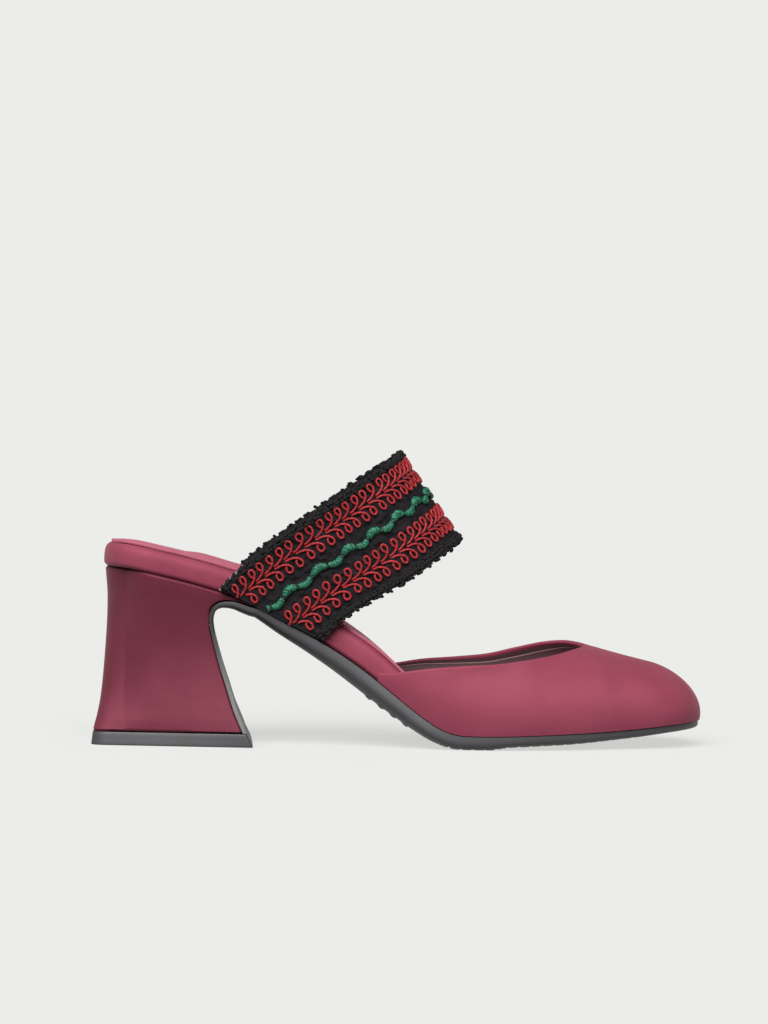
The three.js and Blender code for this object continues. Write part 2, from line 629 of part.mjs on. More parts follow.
// A point of the vamp's outer face: t picks the rib and v runs from 0 at the sole to 1 at its top.
function vampPoint(t, v, side) {
  const { foot, top, slope, lean, fill } = ribAt(t, side);
  const outward = new THREE.Vector3(foot.x - top.x, foot.y - top.y, 0);
  const reach = outward.length();
  const height = top.z - foot.z;
  // The wings swell outwards, also where their topline stands wider than the sole.
  const sideways = t < 1 ? side * Math.abs(outward.y) : outward.y;
  const swell = new THREE.Vector3(outward.x * easeOver(t, swellTurn, 1), sideways, 0).normalize();
  const full = clamp(height / throatHeight, 0, 1);
  const low = foot.clone().addScaledVector(swell, vampBulge * full);
  low.z += height * fill;
  const direction = reach > 1e-6 ? outward.clone().divideScalar(reach) : new THREE.Vector3(0, side, 0);
  const level = new THREE.Vector3(direction.x, direction.y, direction.x * slope);
  const down = new THREE.Vector3(0, side * wallSplay, -1);
  const high = top.clone();
  high.addScaledVector(level, (1 - lean) * fill * reach);
  high.addScaledVector(down, lean * height * wallReach);
  const a = Math.pow(1 - v, 3);
  const b = 3 * v * Math.pow(1 - v, 2);
  const c = 3 * v * v * (1 - v);
  return new THREE.Vector3()
    .addScaledVector(foot, a)
    .addScaledVector(low, b)
    .addScaledVector(high, c)
    .addScaledVector(top, v * v * v);
}
function sideNormal(t, v, side) {
  const h = 2e-3;
  const [t0, t1] = [Math.max(t - h, 0), Math.min(t + h, 2)];
  const [v0, v1] = [Math.max(v - h, 0), Math.min(v + h, 1)];
  const alongT = vampPoint(t1, v, side).sub(vampPoint(t0, v, side));
  const alongV = vampPoint(t, v1, side).sub(vampPoint(t, v0, side));
  return alongT.cross(alongV).multiplyScalar(-side).normalize();
}
// Both sides share one normal on the ridge and at the toe tip.
function vampNormal(t, v, side) {
  const shared = t === 2 || (t >= 1 && v === 1);
  if (!shared) return sideNormal(t, v, side);
  return sideNormal(t, v, -1).add(sideNormal(t, v, 1)).normalize();
}

const ribPlaces = [...steps(wingRibs), ...steps(toeRibs).slice(1).map((t) => 1 + t)];
const insideOf = (t, v, side) =>
  vampPoint(t, v, side).addScaledVector(vampNormal(t, v, side), -vampWall);
function vampSolid() {
  const shell = new Shell();
  for (const side of [-1, 1]) {
    const outer = ribPlaces.map((t) => shell.row(steps(ribSteps).map((v) => vampPoint(t, v, side))));
    const inner = ribPlaces.map((t) => shell.row(steps(ribSteps).map((v) => insideOf(t, v, side))));
    const turned = (a, b, out) => (side < 0 === out ? shell.strip(a, b) : shell.strip(b, a));
    const swap = (rows) => rows[0].map((_, j) => rows.map((row) => row[j]));
    const [outerLines, innerLines] = [swap(outer), swap(inner)];
    for (let j = 0; j < ribSteps; j++) {
      turned(outerLines[j], outerLines[j + 1], true);
      turned(innerLines[j], innerLines[j + 1], false);
    }
    turned(innerLines[0], outerLines[0], true);
    const open = wingRibs + 1;
    turned(outerLines[ribSteps].slice(0, open), innerLines[ribSteps].slice(0, open), true);
    turned(inner[0], outer[0], false);
  }
  return shell.geometry();
}
piece('vamp', vampSolid(), finish.satin);

// Strap: a ribbon that leaves the footbed's sides, leans to the toe and turns over the instep

const lean = THREE.MathUtils.degToRad(strapLean);
const upStrap = new THREE.Vector3(Math.cos(lean), 0, Math.sin(lean));
const acrossStrap = new THREE.Vector3(Math.sin(lean), 0, -Math.cos(lean));
const rearTop = new THREE.Vector3(strapCrestForward, 0, strapCrestHeight);
const gatherAt = (share) => strapGather * Math.pow(1 - share, 2);

// Length of a fibre's straight view from its top down to the footbed's underside.
function fibreDrop(share) {
  const top = rearTop.clone().addScaledVector(acrossStrap, share * strapWidth);
  let [near, far] = [strapTopRadius, strapCrestForward];
  for (let i = 0; i < 40; i++) {
    const middle = (near + far) / 2;
    const p = top.clone().addScaledVector(upStrap, -middle);
    if (p.z > featherHeight(p.x + gatherAt(share)) + strapTuckGap) near = middle;
    else far = middle;
  }
  return near;
}

// A point at a height over the lining's inner face. along runs from -1 at the lateral footbed over 0
// at the top to +1 at the medial footbed, and share from the rear edge to the front edge.
function strapPoint(along, share, height) {
  const side = along < 0 ? -1 : 1;
  const top = rearTop.clone().addScaledVector(acrossStrap, share * strapWidth);
  const drop = fibreDrop(share);
  const turn = (strapTopRadius * Math.PI) / 2;
  const straight = drop - strapTopRadius;
  const run = Math.abs(along) * (turn + straight);
  let [down, out, normalUp, normalOut, drawn] = [0, 0, 1, 0, 0];
  if (run < turn) {
    const angle = run / strapTopRadius;
    down = strapTopRadius * (1 - Math.cos(angle));
    out = strapTopRadius * Math.sin(angle);
    [normalUp, normalOut] = [Math.cos(angle), Math.sin(angle)];
  } else {
    const t = (run - turn) / straight;
    const footX = top.x - upStrap.x * drop + gatherAt(share);
    const foot = halfWidth(footX, side) - bedInset + seam;
    down = strapTopRadius + t * straight;
    out = mix(strapTopRadius, foot, ease(t));
    const tilt = ((foot - strapTopRadius) * 6 * t * (1 - t)) / straight;
    [normalUp, normalOut] = [tilt, 1].map((n) => n / Math.hypot(tilt, 1));
    drawn = gatherAt(share) * Math.pow(t, 4) - strapWaist * share * share * Math.sin(Math.PI * t);
  }
  const p = top.addScaledVector(upStrap, -down + normalUp * height);
  p.x += drawn;
  p.y += side * (out + normalOut * height);
  return p;
}
const strapPlaces = steps(strapSteps).map((t) => mix(-1, 1, t));

// A closed band along the strap. Its section is a list of points across the ribbon, share and height,
// that runs over the outer face from the rear edge to the front edge and back along the inner face.
function band(section) {
  const shell = new Shell();
  const fibre = (q) => strapPlaces.map((along) => strapPoint(along, q.share, q.height));
  const rows = section.map((q) => shell.row(fibre(q)));
  rows.forEach((row, i) => shell.strip(rows[(i + 1) % rows.length], row));
  const flat = section.map((q) => new THREE.Vector2(q.share * strapWidth, q.height));
  const last = strapPlaces.length - 1;
  for (const [a, b, c] of THREE.ShapeUtils.triangulateShape(flat, [])) {
    shell.facet(rows[a][0], rows[b][0], rows[c][0], false);
    shell.facet(rows[a][last], rows[b][last], rows[c][last], true);
  }
  return shell.geometry();
}
const ribbonSection = (outer, innerHeight, innerShares) => [
  ...outer,
  ...innerShares.map((share) => ({ share, height: innerHeight })),
];
const liningEdge = 0.015; // share of the width that the lining stays short of the ribbon's edges
const liningShares = [liningEdge, 0.25, 0.5, 0.75, 1 - liningEdge];
const liningOuter = liningShares.map((share) => ({ share, height: strapLiningThickness }));
const liningSection = ribbonSection(liningOuter, 0, liningShares.toReversed());
piece('strap_lining', band(liningSection), finish.lining);
const ground = strapLiningThickness + seam;
const braidOuter = ribbonRows.map((row) => ({
  share: row.across,
  height: ground + braidThickness + row.relief * braidRelief,
}));
piece('strap_braid', band(ribbonSection(braidOuter, ground, [1, 0.75, 0.5, 0.25, 0])), finish.braid);

// Wave cord: a knitted cord that snakes along the middle of the ribbon

function waveCord() {
  const fibre = (strapTopRadius * Math.PI) / 2 + fibreDrop(waveShare) - strapTopRadius;
  const count = Math.round((2 * fibre * cordStepsPerWave) / wavePitch);
  const endGap = waveEndGap / fibre;
  const alongs = steps(count).map((t) => mix(-1 + endGap, 1 - endGap, t));
  const shell = new Shell();
  const swing = (along) => waveSwing * Math.sin((2 * Math.PI * along * fibre) / wavePitch);
  const rows = alongs.map((along) =>
    shell.row(
      steps(cordSides)
        .slice(0, cordSides)
        .map((turn) => {
          const angle = 2 * Math.PI * turn;
          const share = waveShare + (swing(along) + (waveCordWidth / 2) * Math.cos(angle)) / strapWidth;
          const height = ground + braidThickness + seam + (waveCordHeight / 2) * (1 + Math.sin(angle));
          return strapPoint(along, share, height);
        }),
    ),
  );
  for (let i = 0; i + 1 < rows.length; i++) {
    for (let j = 0; j < cordSides; j++) {
      const k = (j + 1) % cordSides;
      shell.quad(rows[i][j], rows[i + 1][j], rows[i + 1][k], rows[i][k]);
    }
  }
  const cap = (row, first) => {
    for (let j = 1; j + 1 < cordSides; j++) {
      if (first) shell.triangles.push(row[0], row[j + 1], row[j]);
      else shell.triangles.push(row[0], row[j], row[j + 1]);
    }
  };
  cap(rows[0], false);
  cap(rows[rows.length - 1], true);
  return shell.geometry();
}
piece('wave_cord', waveCord(), finish.cord);

// The origin is on the floor under the middle of the whole shoe
const whole = new THREE.Box3().setFromObject(shoe);
shoe.position.set(-(whole.min.x + whole.max.x) / 2, -(whole.min.y + whole.max.y) / 2, 0);

export default shoe;
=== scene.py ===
import math

import bmesh
import bpy
import numpy as np
from mathutils import Matrix, Vector


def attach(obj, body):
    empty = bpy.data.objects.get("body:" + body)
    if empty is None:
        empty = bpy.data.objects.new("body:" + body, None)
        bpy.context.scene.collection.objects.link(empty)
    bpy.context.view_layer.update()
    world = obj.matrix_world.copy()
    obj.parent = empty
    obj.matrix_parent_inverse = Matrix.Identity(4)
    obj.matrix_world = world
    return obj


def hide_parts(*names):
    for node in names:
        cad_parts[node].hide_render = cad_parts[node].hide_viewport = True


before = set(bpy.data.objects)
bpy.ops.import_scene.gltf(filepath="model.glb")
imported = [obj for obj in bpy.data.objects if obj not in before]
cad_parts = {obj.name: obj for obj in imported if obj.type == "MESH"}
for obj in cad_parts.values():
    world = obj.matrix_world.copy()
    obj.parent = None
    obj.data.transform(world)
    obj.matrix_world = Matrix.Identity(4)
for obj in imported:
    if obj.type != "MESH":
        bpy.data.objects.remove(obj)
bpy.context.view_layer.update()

# Heel block: a hollow plastic heel wrapped in polyester satin, drawn tight and glued under its seat.
# It is waisted below the seat and flares to its base, and the breast is cut forward at the top.
# Sizes are in millimetres: x from the back of the seat to the toe, y to the inner side, z off the floor.
seat_end = np.array([-114.133, -0.054, 0.0])  # where x and y are zero, from the shoe's middle
shoe_length = 231.0
half_ball = 78.0 / 2
seat_height = 67.4
sole_thickness = 5.4
toe_spring = 4.7
lift_thickness = 5.0
seam = 0.3
outline_rows = {
    "at": (0.0, 0.11, 0.2, 0.285, 0.37, 0.435, 0.5, 0.565, 0.62, 0.68, 0.745, 0.815, 0.88, 0.94, 1.0),
    "axis": (0, 0, 0, 0, 0, 0, 0, 0, 0.005, 0.013, 0.033, 0.06, 0.085, 0.103, 0.115),
    "outer": (0.66, 0.69, 0.69, 0.68, 0.705, 0.765, 0.86, 0.95, 1.0, 1.005, 0.97, 0.89, 0.8, 0.73, 0.68),
    "inner": (0.66, 0.69, 0.675, 0.64, 0.645, 0.695, 0.785, 0.885, 0.96, 0.99, 0.955, 0.875, 0.775,
              0.69, 0.63),
}
heel_round = (0.1, 2.2)  # share of the length, and power, of the outline's rounded back end
toe_round = (0.117, 2.4)
profile_rows = {
    "at": (0.0, 0.045, 0.09, 0.143, 0.195, 0.23, 0.26, 0.303, 0.346, 0.39, 0.433, 0.468, 0.498, 0.528,
           0.554, 0.58, 0.61, 0.635, 0.66, 0.71, 0.78, 0.86, 0.94, 1.0),
    "rise": (1.0, 0.986, 0.951, 0.905, 0.851, 0.81, 0.752, 0.665, 0.583, 0.487, 0.378, 0.276, 0.186, 0.102,
             0.041, 0.007, 0, 0, 0, 0, 0, 0, 0, 0),
    "spring": (0, 0, 0, 0, 0, 0, 0, 0, 0, 0, 0, 0, 0, 0, 0, 0, 0, 0, 0.01, 0.085, 0.22, 0.45, 0.8, 1),
    "sole": (0.5, 0.5, 0.5, 0.52, 0.56, 0.6, 0.7, 0.91, 1.09, 1.22, 1.29, 1.24, 1.14, 1.07,
             1.02, 1.03, 1.03, 1.02, 0.86, 0.8, 0.77, 0.65, 0.57, 0.5),
}
heel_rows = {
    "up": (0.0, 0.06, 0.14, 0.25, 0.4, 0.55, 0.7, 0.85, 0.95, 1.0),
    "kick": (-1.0, -0.6, -0.2, 0.16, 0.5, 0.72, 0.85, 0.82, 0.6, 0.5),
    "nip": (0.0, 0.06, 0.22, 0.5, 0.84, 1.0, 0.84, 0.42, 0.1, 0.0),
    "flare": (1.0, 0.86, 0.69, 0.48, 0.27, 0.13, 0.06, 0.02, 0.0, 0.0),
}
breast_rows = {
    "up": (0.0, 0.07, 0.17, 0.333, 0.475, 0.64, 0.77, 0.87, 0.94, 0.983, 1.0, 0.995, 0.97, 0.955),
    "fore": (1.0, 0.88, 0.72, 0.52, 0.34, 0.16, 0.04, 0.0, 0.07, 0.25, 0.5, 0.79, 1.08, 1.26),
}
heel_base_length = 56.2
heel_base_widths = (47.0, 65.0)  # across its back and its front
heel_back_kick = 2.4
heel_nip = 3.2
heel_top_inset = 1.6
breast_setback = 40.7
breast_rise = 49.5
base_corner = (0.09, 0.14)  # reach and depth of the base's rounded back corners
base_front = heel_base_length - heel_back_kick
breast_corner = 0.9  # radius of the satin round the breast's two edges
breast_columns = np.array([0.8, 0.55, 0.3, 0.1])  # over its face, as shares of its half width
heel_edge = 0.8  # radius of the satin where it turns over the top and under the base
heel_low = lift_thickness + seam
heel_levels, heel_columns, corner_steps = 110, 72, 7
outer_side, inner_side = -1, 1
ripple_values = 4096
ripple_primes = np.array([73856093, 19349663, 83492791])  # they scatter neighbouring cells


def mix(a, b, t):
    return a + (b - a) * t


def ease_over(x, start, end):
    t = np.clip((np.asarray(x, float) - start) / (end - start), 0, 1)
    return t * t * (3 - 2 * t)


def unit(vectors):
    return vectors / np.maximum(np.linalg.norm(vectors, axis=-1, keepdims=True), 1e-9)


def smooth_curve(xs, ys):
    """A curve through rows of values: cubic pieces that keep a parabola's slope at each row."""
    xs, ys = np.array(xs, float), np.array(ys, float)
    spans = np.diff(xs)
    pieces = np.diff(ys) / spans
    inner = (pieces[:-1] * spans[1:] + pieces[1:] * spans[:-1]) / (spans[1:] + spans[:-1])
    slopes = np.concatenate([pieces[:1], inner, pieces[-1:]])

    def curve(x):
        at = np.clip(np.asarray(x, float), xs[0], xs[-1])
        i = np.clip(np.searchsorted(xs, at, side="left") - 1, 0, len(xs) - 2)
        t = (at - xs[i]) / spans[i]
        rise = ys[i + 1] - ys[i]
        bend = (1 - t) * (slopes[i] * spans[i] - rise) + t * (rise - slopes[i + 1] * spans[i])
        return mix(ys[i], ys[i + 1], t) + t * (1 - t) * bend

    return curve


def curves_of(rows):
    """The columns of a table, each as a smooth curve over the first one."""
    first = next(iter(rows))
    return {key: smooth_curve(rows[first], rows[key]) for key in rows if key != first}


outline, profile, heel_form = curves_of(outline_rows), curves_of(profile_rows), curves_of(heel_rows)


def rounded_end(distance, ends):
    """Share of the full width that a rounded end leaves at a distance from its tip."""
    t = 1 - np.clip(distance / (ends[0] * shoe_length), 0, 1)
    return (1 - t ** ends[1]) ** (1 / ends[1])


def axis_at(x):
    return outline["axis"](x / shoe_length) * half_ball


def half_width(x, side):
    ends = rounded_end(x, heel_round) * rounded_end(shoe_length - x, toe_round)
    return outline["inner" if side > 0 else "outer"](x / shoe_length) * half_ball * ends


def feather_height(x):
    """Height of the line where the footbed and the vamp meet the outsole."""
    climb = profile["rise"](x / shoe_length) * (seat_height - sole_thickness)
    return sole_thickness + climb + profile["spring"](x / shoe_length) * toe_spring


def run_along(points, power=1.0):
    """The sum of the steps up to each point of a line, with each step raised to a power."""
    return np.concatenate([[0], np.cumsum(np.linalg.norm(np.diff(points, axis=0), axis=1) ** power)])


def path_through(points, fine_steps=2000):
    """A smooth path through a few points, by share of its length."""
    points = np.array(points, float)
    knots = run_along(points, 0.5)
    fine = np.linspace(0, knots[-1], fine_steps)
    line = np.stack([smooth_curve(knots, values)(fine) for values in points.T], -1)
    length = run_along(line)

    def at(share):
        return np.stack([np.interp(share * length[-1], length, values) for values in line.T], -1)

    return at


# The breast from the side, as x and z from the base up and forwards over the bend.
breast_at = path_through(np.stack([mix(breast_setback, base_front, np.array(breast_rows["fore"])),
                                   heel_low + np.array(breast_rows["up"]) * breast_rise], -1))


def heel_share(x, z):
    return (z - heel_low) / (feather_height(x) - seam - heel_low)


def heel_half_width(up, q, x, side):
    """Between the seat's rounded shape at the top and the base's trapezium at the bottom."""
    rounding = rounded_end(x - heel_form["kick"](up) * heel_back_kick, heel_round)
    cup = (half_width(np.maximum(x, 0.4 * heel_round[0] * shoe_length), side) - heel_top_inset) * rounding
    turn = 1 - np.clip(q / base_corner[0], 0, 1)
    corner = 1 - base_corner[1] * (1 - np.sqrt(1 - turn * turn))
    base = mix(heel_base_widths[0], heel_base_widths[1], q) / 2 * corner
    return mix(cup, base, heel_form["flare"](up)) - heel_form["nip"](up) * heel_nip * rounding


def heel_loop(front, up):
    """One closed level of the heel: the outer side from the back, round to the breast, and home."""
    back = heel_form["kick"](up) * heel_back_kick
    x = mix(back, front - breast_corner, 1 - np.cos(np.pi / 2 * np.linspace(0, 1, heel_columns)))
    turn = np.linspace(0, np.pi / 2, corner_steps)[1:]
    x = np.concatenate([x, front - breast_corner * (1 - np.sin(turn))])
    drawn = np.concatenate([np.zeros(heel_columns), breast_corner * (1 - np.cos(turn))])
    halves = []
    for side in (outer_side, inner_side):
        wide = heel_half_width(up, (x - back) / (front - back), x, side) - drawn
        across = np.concatenate([wide, wide[-1] * breast_columns])
        along = np.concatenate([x, np.full(len(breast_columns), front)])
        z = mix(heel_low, feather_height(along) - seam, up)
        halves.append(np.stack([along, axis_at(along) + side * across, z], -1))
    return np.concatenate([halves[0], halves[1][::-1]])


def drawn_in(loop, inset):
    """A closed level with its edge drawn in by an inset, square to the edge."""
    along = np.roll(loop, -1, 0) - np.roll(loop, 1, 0)
    inward = unit(np.stack([-along[:, 1], along[:, 0], np.zeros(len(loop))], -1))
    return loop + inward * np.broadcast_to(inset, len(loop))[:, None]


def edge_inset(distance, radius):
    """How far a rounded edge stands back at a distance from its rim."""
    d = np.clip(radius - distance, 0, radius)
    return radius - np.sqrt(radius * radius - d * d)


def ripple(points, size, seed):
    """Smooth random waves of a size in millimetres, between -1 and 1, the same on every run."""
    table = np.random.default_rng(seed).uniform(-1, 1, ripple_values)
    scaled = np.asarray(points) / size
    cell = np.floor(scaled).astype(np.int64)
    t = scaled - cell
    t = t * t * (3 - 2 * t)
    total = np.zeros(scaled.shape[:-1])
    for corner in range(8):
        step = np.array([(corner >> k) & 1 for k in range(3)])
        key = np.bitwise_xor.reduce((cell + step) * ripple_primes, axis=-1) % ripple_values
        total += table[key] * np.prod(np.where(step == 1, t, 1 - t), axis=-1)
    return total


def grid_normals(points):
    """Unit normals of a grid of points, on the side that rows across columns give."""
    return unit(np.cross(np.gradient(points, axis=0), np.gradient(points, axis=1)))


def creased(points, normals, troughs):
    """Presses soft troughs into a grid, each along a line on the shoe, with its width and depth."""
    for start, end, width, depth in troughs:
        a, b = np.array(start, float), np.array(end, float)
        t = np.clip((points - a) @ ((b - a) / np.dot(b - a, b - a)), 0, 1)
        away = np.linalg.norm(points - (a + t[..., None] * (b - a)), axis=-1)
        fade = np.sin(np.pi * np.clip(t, 0.03, 0.97)) ** 0.6
        points = points - normals * (depth * fade * np.exp(-((away / width) ** 2)))[..., None]
    return points


def linear(hex_colour, strength=1.0):
    """An sRGB hex colour at a strength, as the linear values that a shader takes."""
    parts = [int(hex_colour[i:i + 2], 16) / 255 for i in (1, 3, 5)]
    parts = [p / 12.92 if p <= 0.04045 else ((p + 0.055) / 1.055) ** 2.4 for p in parts]
    return [p * strength for p in parts] + [1.0]


def add_node(tree, kind, values=None, links=None, **settings):
    """One shader node with its settings, socket values and links."""
    made = tree.nodes.new("ShaderNode" + kind)
    for name, value in settings.items():
        setattr(made, name, value)
    for socket, value in (values or {}).items():
        made.inputs[socket].default_value = value
    for socket, source in (links or {}).items():
        tree.links.new(source, made.inputs[socket])
    return made


def blend_colours(tree, fac, places, colours, strengths=(1.0, 1.0)):
    """Hex colours at their strengths, each at its place along a value and blended in between."""
    ramp = add_node(tree, "ValToRGB", links={"Fac": fac})
    elements = ramp.color_ramp.elements
    while len(elements) < len(places):
        elements.new(0.5)
    for element, place, colour, strength in zip(elements, places, colours, strengths):
        element.position = place
        element.color = linear(colour, strength)
    return ramp.outputs["Color"]


def grain(tree, size_mm, detail, rough=0.5, stretch=(1.0, 1.0, 1.0)):
    """Noise with grains of a size in millimetres, longer along an axis that has a small stretch."""
    place = add_node(tree, "TexCoord").outputs["Object"]
    place = add_node(tree, "Mapping", {"Scale": stretch}, {"Vector": place}).outputs[0]
    values = {"Scale": 1000 / size_mm, "Detail": detail, "Roughness": rough}
    return add_node(tree, "TexNoise", values, {"Vector": place}).outputs["Fac"]


def relief(tree, height, strength, depth_mm, under=None, **settings):
    """Normals bent by the height of a texture, over those of the relief under it."""
    values = {"Strength": strength, "Distance": depth_mm / 1000}
    links = {"Height": height} if under is None else {"Height": height, "Normal": under}
    return add_node(tree, "Bump", values, links, **settings).outputs[0]


def finish_of(name, make):
    """A material whose nodes make adds, ending in the shader that make returns."""
    material = bpy.data.materials.new(name)
    material.use_nodes = True
    tree = material.node_tree
    tree.nodes.clear()
    add_node(tree, "OutputMaterial", links={"Surface": make(tree).outputs[0]})
    return material


def in_scene(name, data):
    made = bpy.data.objects.new(name, data)
    bpy.context.scene.collection.objects.link(made)
    return made


def build_piece(name, grids, material, replaced=(), sharp=55, weld=0.0):
    """A piece from grids of millimetre points, or batches of equal grids. A grid meets round its
    columns and is filled at its ends, unless it comes as (points, columns meet, ends filled)."""
    points, faces, offset = [], [], 0
    for grid in grids:
        batch, columns_meet, filled = grid if isinstance(grid, tuple) else (grid, True, True)
        batch = batch.reshape(-1, *batch.shape[-3:])
        count, rows, columns = batch.shape[:3]
        index = np.arange(count * rows * columns).reshape(count, rows, columns) + offset
        full = np.concatenate([index, index[:, :, :1]], 2) if columns_meet else index
        quads = np.stack([full[:, :-1, :-1], full[:, :-1, 1:], full[:, 1:, 1:], full[:, 1:, :-1]], -1)
        faces.extend(quads.reshape(-1, 4).tolist())
        if filled:
            k = np.arange(columns // 2 - 1)
            for row in (0, -1):
                ladder = np.stack([index[:, row, k], index[:, row, k + 1],
                                   index[:, row, columns - 2 - k], index[:, row, columns - 1 - k]], -1)
                ladder = ladder[..., ::-1] if row == 0 else ladder
                faces.extend(ladder.reshape(-1, 4).tolist())
        points.append(batch.reshape(-1, 3))
        offset += count * rows * columns
    mesh = bpy.data.meshes.new(name)
    mesh.from_pydata(((np.concatenate(points) + seat_end) / 1000).tolist(), [], faces)
    work = bmesh.new()
    work.from_mesh(mesh)
    if weld:
        bmesh.ops.remove_doubles(work, verts=work.verts, dist=weld / 1000)
    bmesh.ops.recalc_face_normals(work, faces=work.faces)
    work.to_mesh(mesh)
    work.free()
    piece = in_scene(name, mesh)
    mesh.materials.append(material)
    mesh.shade_smooth()
    mesh.set_sharp_from_angle(angle=math.radians(sharp))
    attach(piece, "root")
    if replaced:
        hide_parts(*replaced)
    return piece


def duchess_satin(colour, shade, bloom=0.12):
    """Duchess satin: a warp-faced polyester weave. Its long floats lie side by side, so light spreads in
    a broad silky gloss with a pale bloom at grazing angles. Threads are 0.12 mm, and drawn at 0.3 mm."""
    def make(tree):
        drift = grain(tree, 24, 4.0, 0.6)
        weave = relief(tree, grain(tree, 0.3, 2.0, stretch=(0.15, 1.0, 1.0)), 0.35, 0.08)
        gloss = {"Roughness": 0.56, "IOR": 1.5, "Specular IOR Level": 0.4, "Anisotropic": 0.3,
                 "Specular Tint": linear("#E88A9C"), "Sheen Weight": bloom, "Sheen Roughness": 0.35,
                 "Sheen Tint": linear("#E87F96")}
        return add_node(tree, "BsdfPrincipled", gloss, {
            "Base Color": blend_colours(tree, drift, (0.32, 0.68), (shade, colour)),
            "Normal": relief(tree, drift, 0.5, 0.5, weave)})

    return make


# The heel's satin is the rose satin painted darker: painted shade for its walls, which face sideways and
# catch less light.
heel_satin = finish_of("heel_satin", duchess_satin("#4F202B", "#471B25"))
heel_middle = 30.0
bend_height, bend_reach, bend_fill = 47.8, 2.2, 0.6
hem_height, hem_reach, hem_rise = 9.5, 3.2, 0.12
gather_depth, gather_size = 0.16, 4.2
heel_slack, heel_slack_size = 0.1, 17
heel_creases = (
    ((19, -24, 12.5), (26, -26, 8.4), 1.1, 0.22),
    ((31, -26, 12.0), (35, -27, 8.2), 0.9, 0.2),
    ((44, -28, 13.5), (47, -29.5, 7.6), 1.2, 0.22),
    ((2, -12, 24), (8, -18, 9), 3.0, 0.15),
)
fine_weld = 0.003
heel_stops = breast_at(np.linspace(0, 1, heel_levels + 1))
heel_ups = heel_share(heel_stops[:, 0], heel_stops[:, 1]) + 1e-5 * np.arange(heel_levels + 1)
heel_ups = np.maximum.accumulate(heel_ups)
heel_grid = np.array([heel_loop(stop[0], min(up, 1)) for stop, up in zip(heel_stops, heel_ups)]
                     + [heel_loop(heel_stops[-1][0], 1.0)])
heel_room = feather_height(heel_grid[..., 0]) - seam - heel_grid[..., 2]
behind_breast = heel_grid[..., 0].max(axis=1, keepdims=True) - heel_grid[..., 0]
heel_turned = edge_inset(heel_grid[..., 2] - heel_grid[:1, :, 2], heel_edge)
heel_turned += edge_inset(heel_room, heel_edge) * ease_over(behind_breast, 0.6, 5)
heel_grid = np.array([drawn_in(loop, inset) for loop, inset in zip(heel_grid, heel_turned)])
# Where the sole's flap bends down the breast, the satin fills up to it.
bend = np.exp(-(((heel_grid[..., 2] - bend_height) / bend_reach) ** 2))
heel_grid[..., 0] += bend_fill * bend * (1 - ease_over(behind_breast, 0, 3))
heel_normal = grid_normals(heel_grid)
heel_outward = heel_grid - [heel_middle, 0, 0]
heel_normal *= np.where((heel_normal * heel_outward).sum(-1) < 0, -1, 1)[..., None]
# The satin gathers a little above its hem.
hem = np.exp(-(((heel_grid[..., 2] - hem_height) / hem_reach) ** 2))
gathers = gather_depth * ripple(heel_grid * [1, 1, 0.45], gather_size, 3)
heel_grid += heel_normal * (hem * (gathers + hem_rise))[..., None]
heel_grid += heel_normal * (heel_slack * ripple(heel_grid, heel_slack_size, 5))[..., None]
heel_grid = creased(heel_grid, heel_normal, heel_creases)
build_piece("heel_cover", [heel_grid], heel_satin, ["heel_block"], weld=fine_weld)

# Heel tap: the rubber top piece, moulded and nailed under the heel. It spreads a little towards the
# floor and runs on at its front under the sole's flap.
lift_flare = 0.7
lift_toe = 2.0
lift_edge = 0.35
flap_thickness = 1.4
lift_front = base_front + seam + flap_thickness
tap_levels = (0, 0.03, 0.1, 0.2, 0.35, 1.2, 2.4, 3.6, 4.65, 4.8, 4.9, 4.97, 5.0)


def moulded_rubber(colour, shade):
    """Moulded thermoplastic rubber: a dull, faintly pebbled skin that picks up dust."""
    def make(tree):
        tone = blend_colours(tree, grain(tree, 12, 4.0), (0.3, 0.7), (shade, colour))
        return add_node(tree, "BsdfPrincipled", {"Roughness": 0.5, "IOR": 1.52},
                        {"Base Color": tone, "Normal": relief(tree, grain(tree, 0.5, 3.0), 0.3, 0.08)})

    return make


sole_rubber = finish_of("sole_rubber", moulded_rubber("#29272B", "#232124"))


def tap_loop(height):
    """A level of the tap: the heel's base grown outwards from its middle."""
    share = 1 - height / lift_thickness
    middle = np.array([lift_front / 2, 0, 0])
    out = (heel_loop(lift_front + lift_toe * share, 0.0) - middle) * [1, 1, 0]
    loop = middle + out * (1 + lift_flare * share / np.linalg.norm(out, axis=1, keepdims=True))
    loop[:, 2] = height
    return drawn_in(loop, edge_inset(height, lift_edge) + edge_inset(lift_thickness - height, lift_edge))


tap_grid = np.array([tap_loop(height) for height in tap_levels])
build_piece("heel_tap", [tap_grid], sole_rubber, ["heel_lift"], weld=fine_weld)

# Outsole: one moulding of thin rubber, glued on from the toe to the waist, over the bend and down the
# breast of the heel. It has a flat side wall, a full rounded waist, and ribs and grooves for grip.
toe_tuck = 0.7
tip_gap = 0.02
join_reach = 3.0
flap_cut = 0.12
flap_stations, tread_stations = 90, 520
bend_end = breast_at(1.0)[0]
sole_rows = {
    "i": (0, 1, 2, 3, 4),
    "inset": (6.5, 2.6, 0.6, 0.0, 0.0),
    "waist": (6.5, 3.4, 0.9, 0.0, 0.0),
    "depth": (1.0, 0.9, 0.7, 0.44, 0.0),
}
sole_form = curves_of(sole_rows)
sole_steps = [4, 3.97, 3.6, 3.2, 3.0, 2.8, 2.6, 2.4, 2.2, 2.0, 1.8, 1.6, 1.4, 1.2, 1.0, 0.75, 0.5, 0.25, 0.0]
rib_from, rib_to, rib_first, rib_pitch, rib_height = 99, 118, 101.5, 4.6, 0.5
groove_from, groove_to, groove_first, groove_pitch, groove_depth = 127, 206, 131.5, 4.4, 0.55


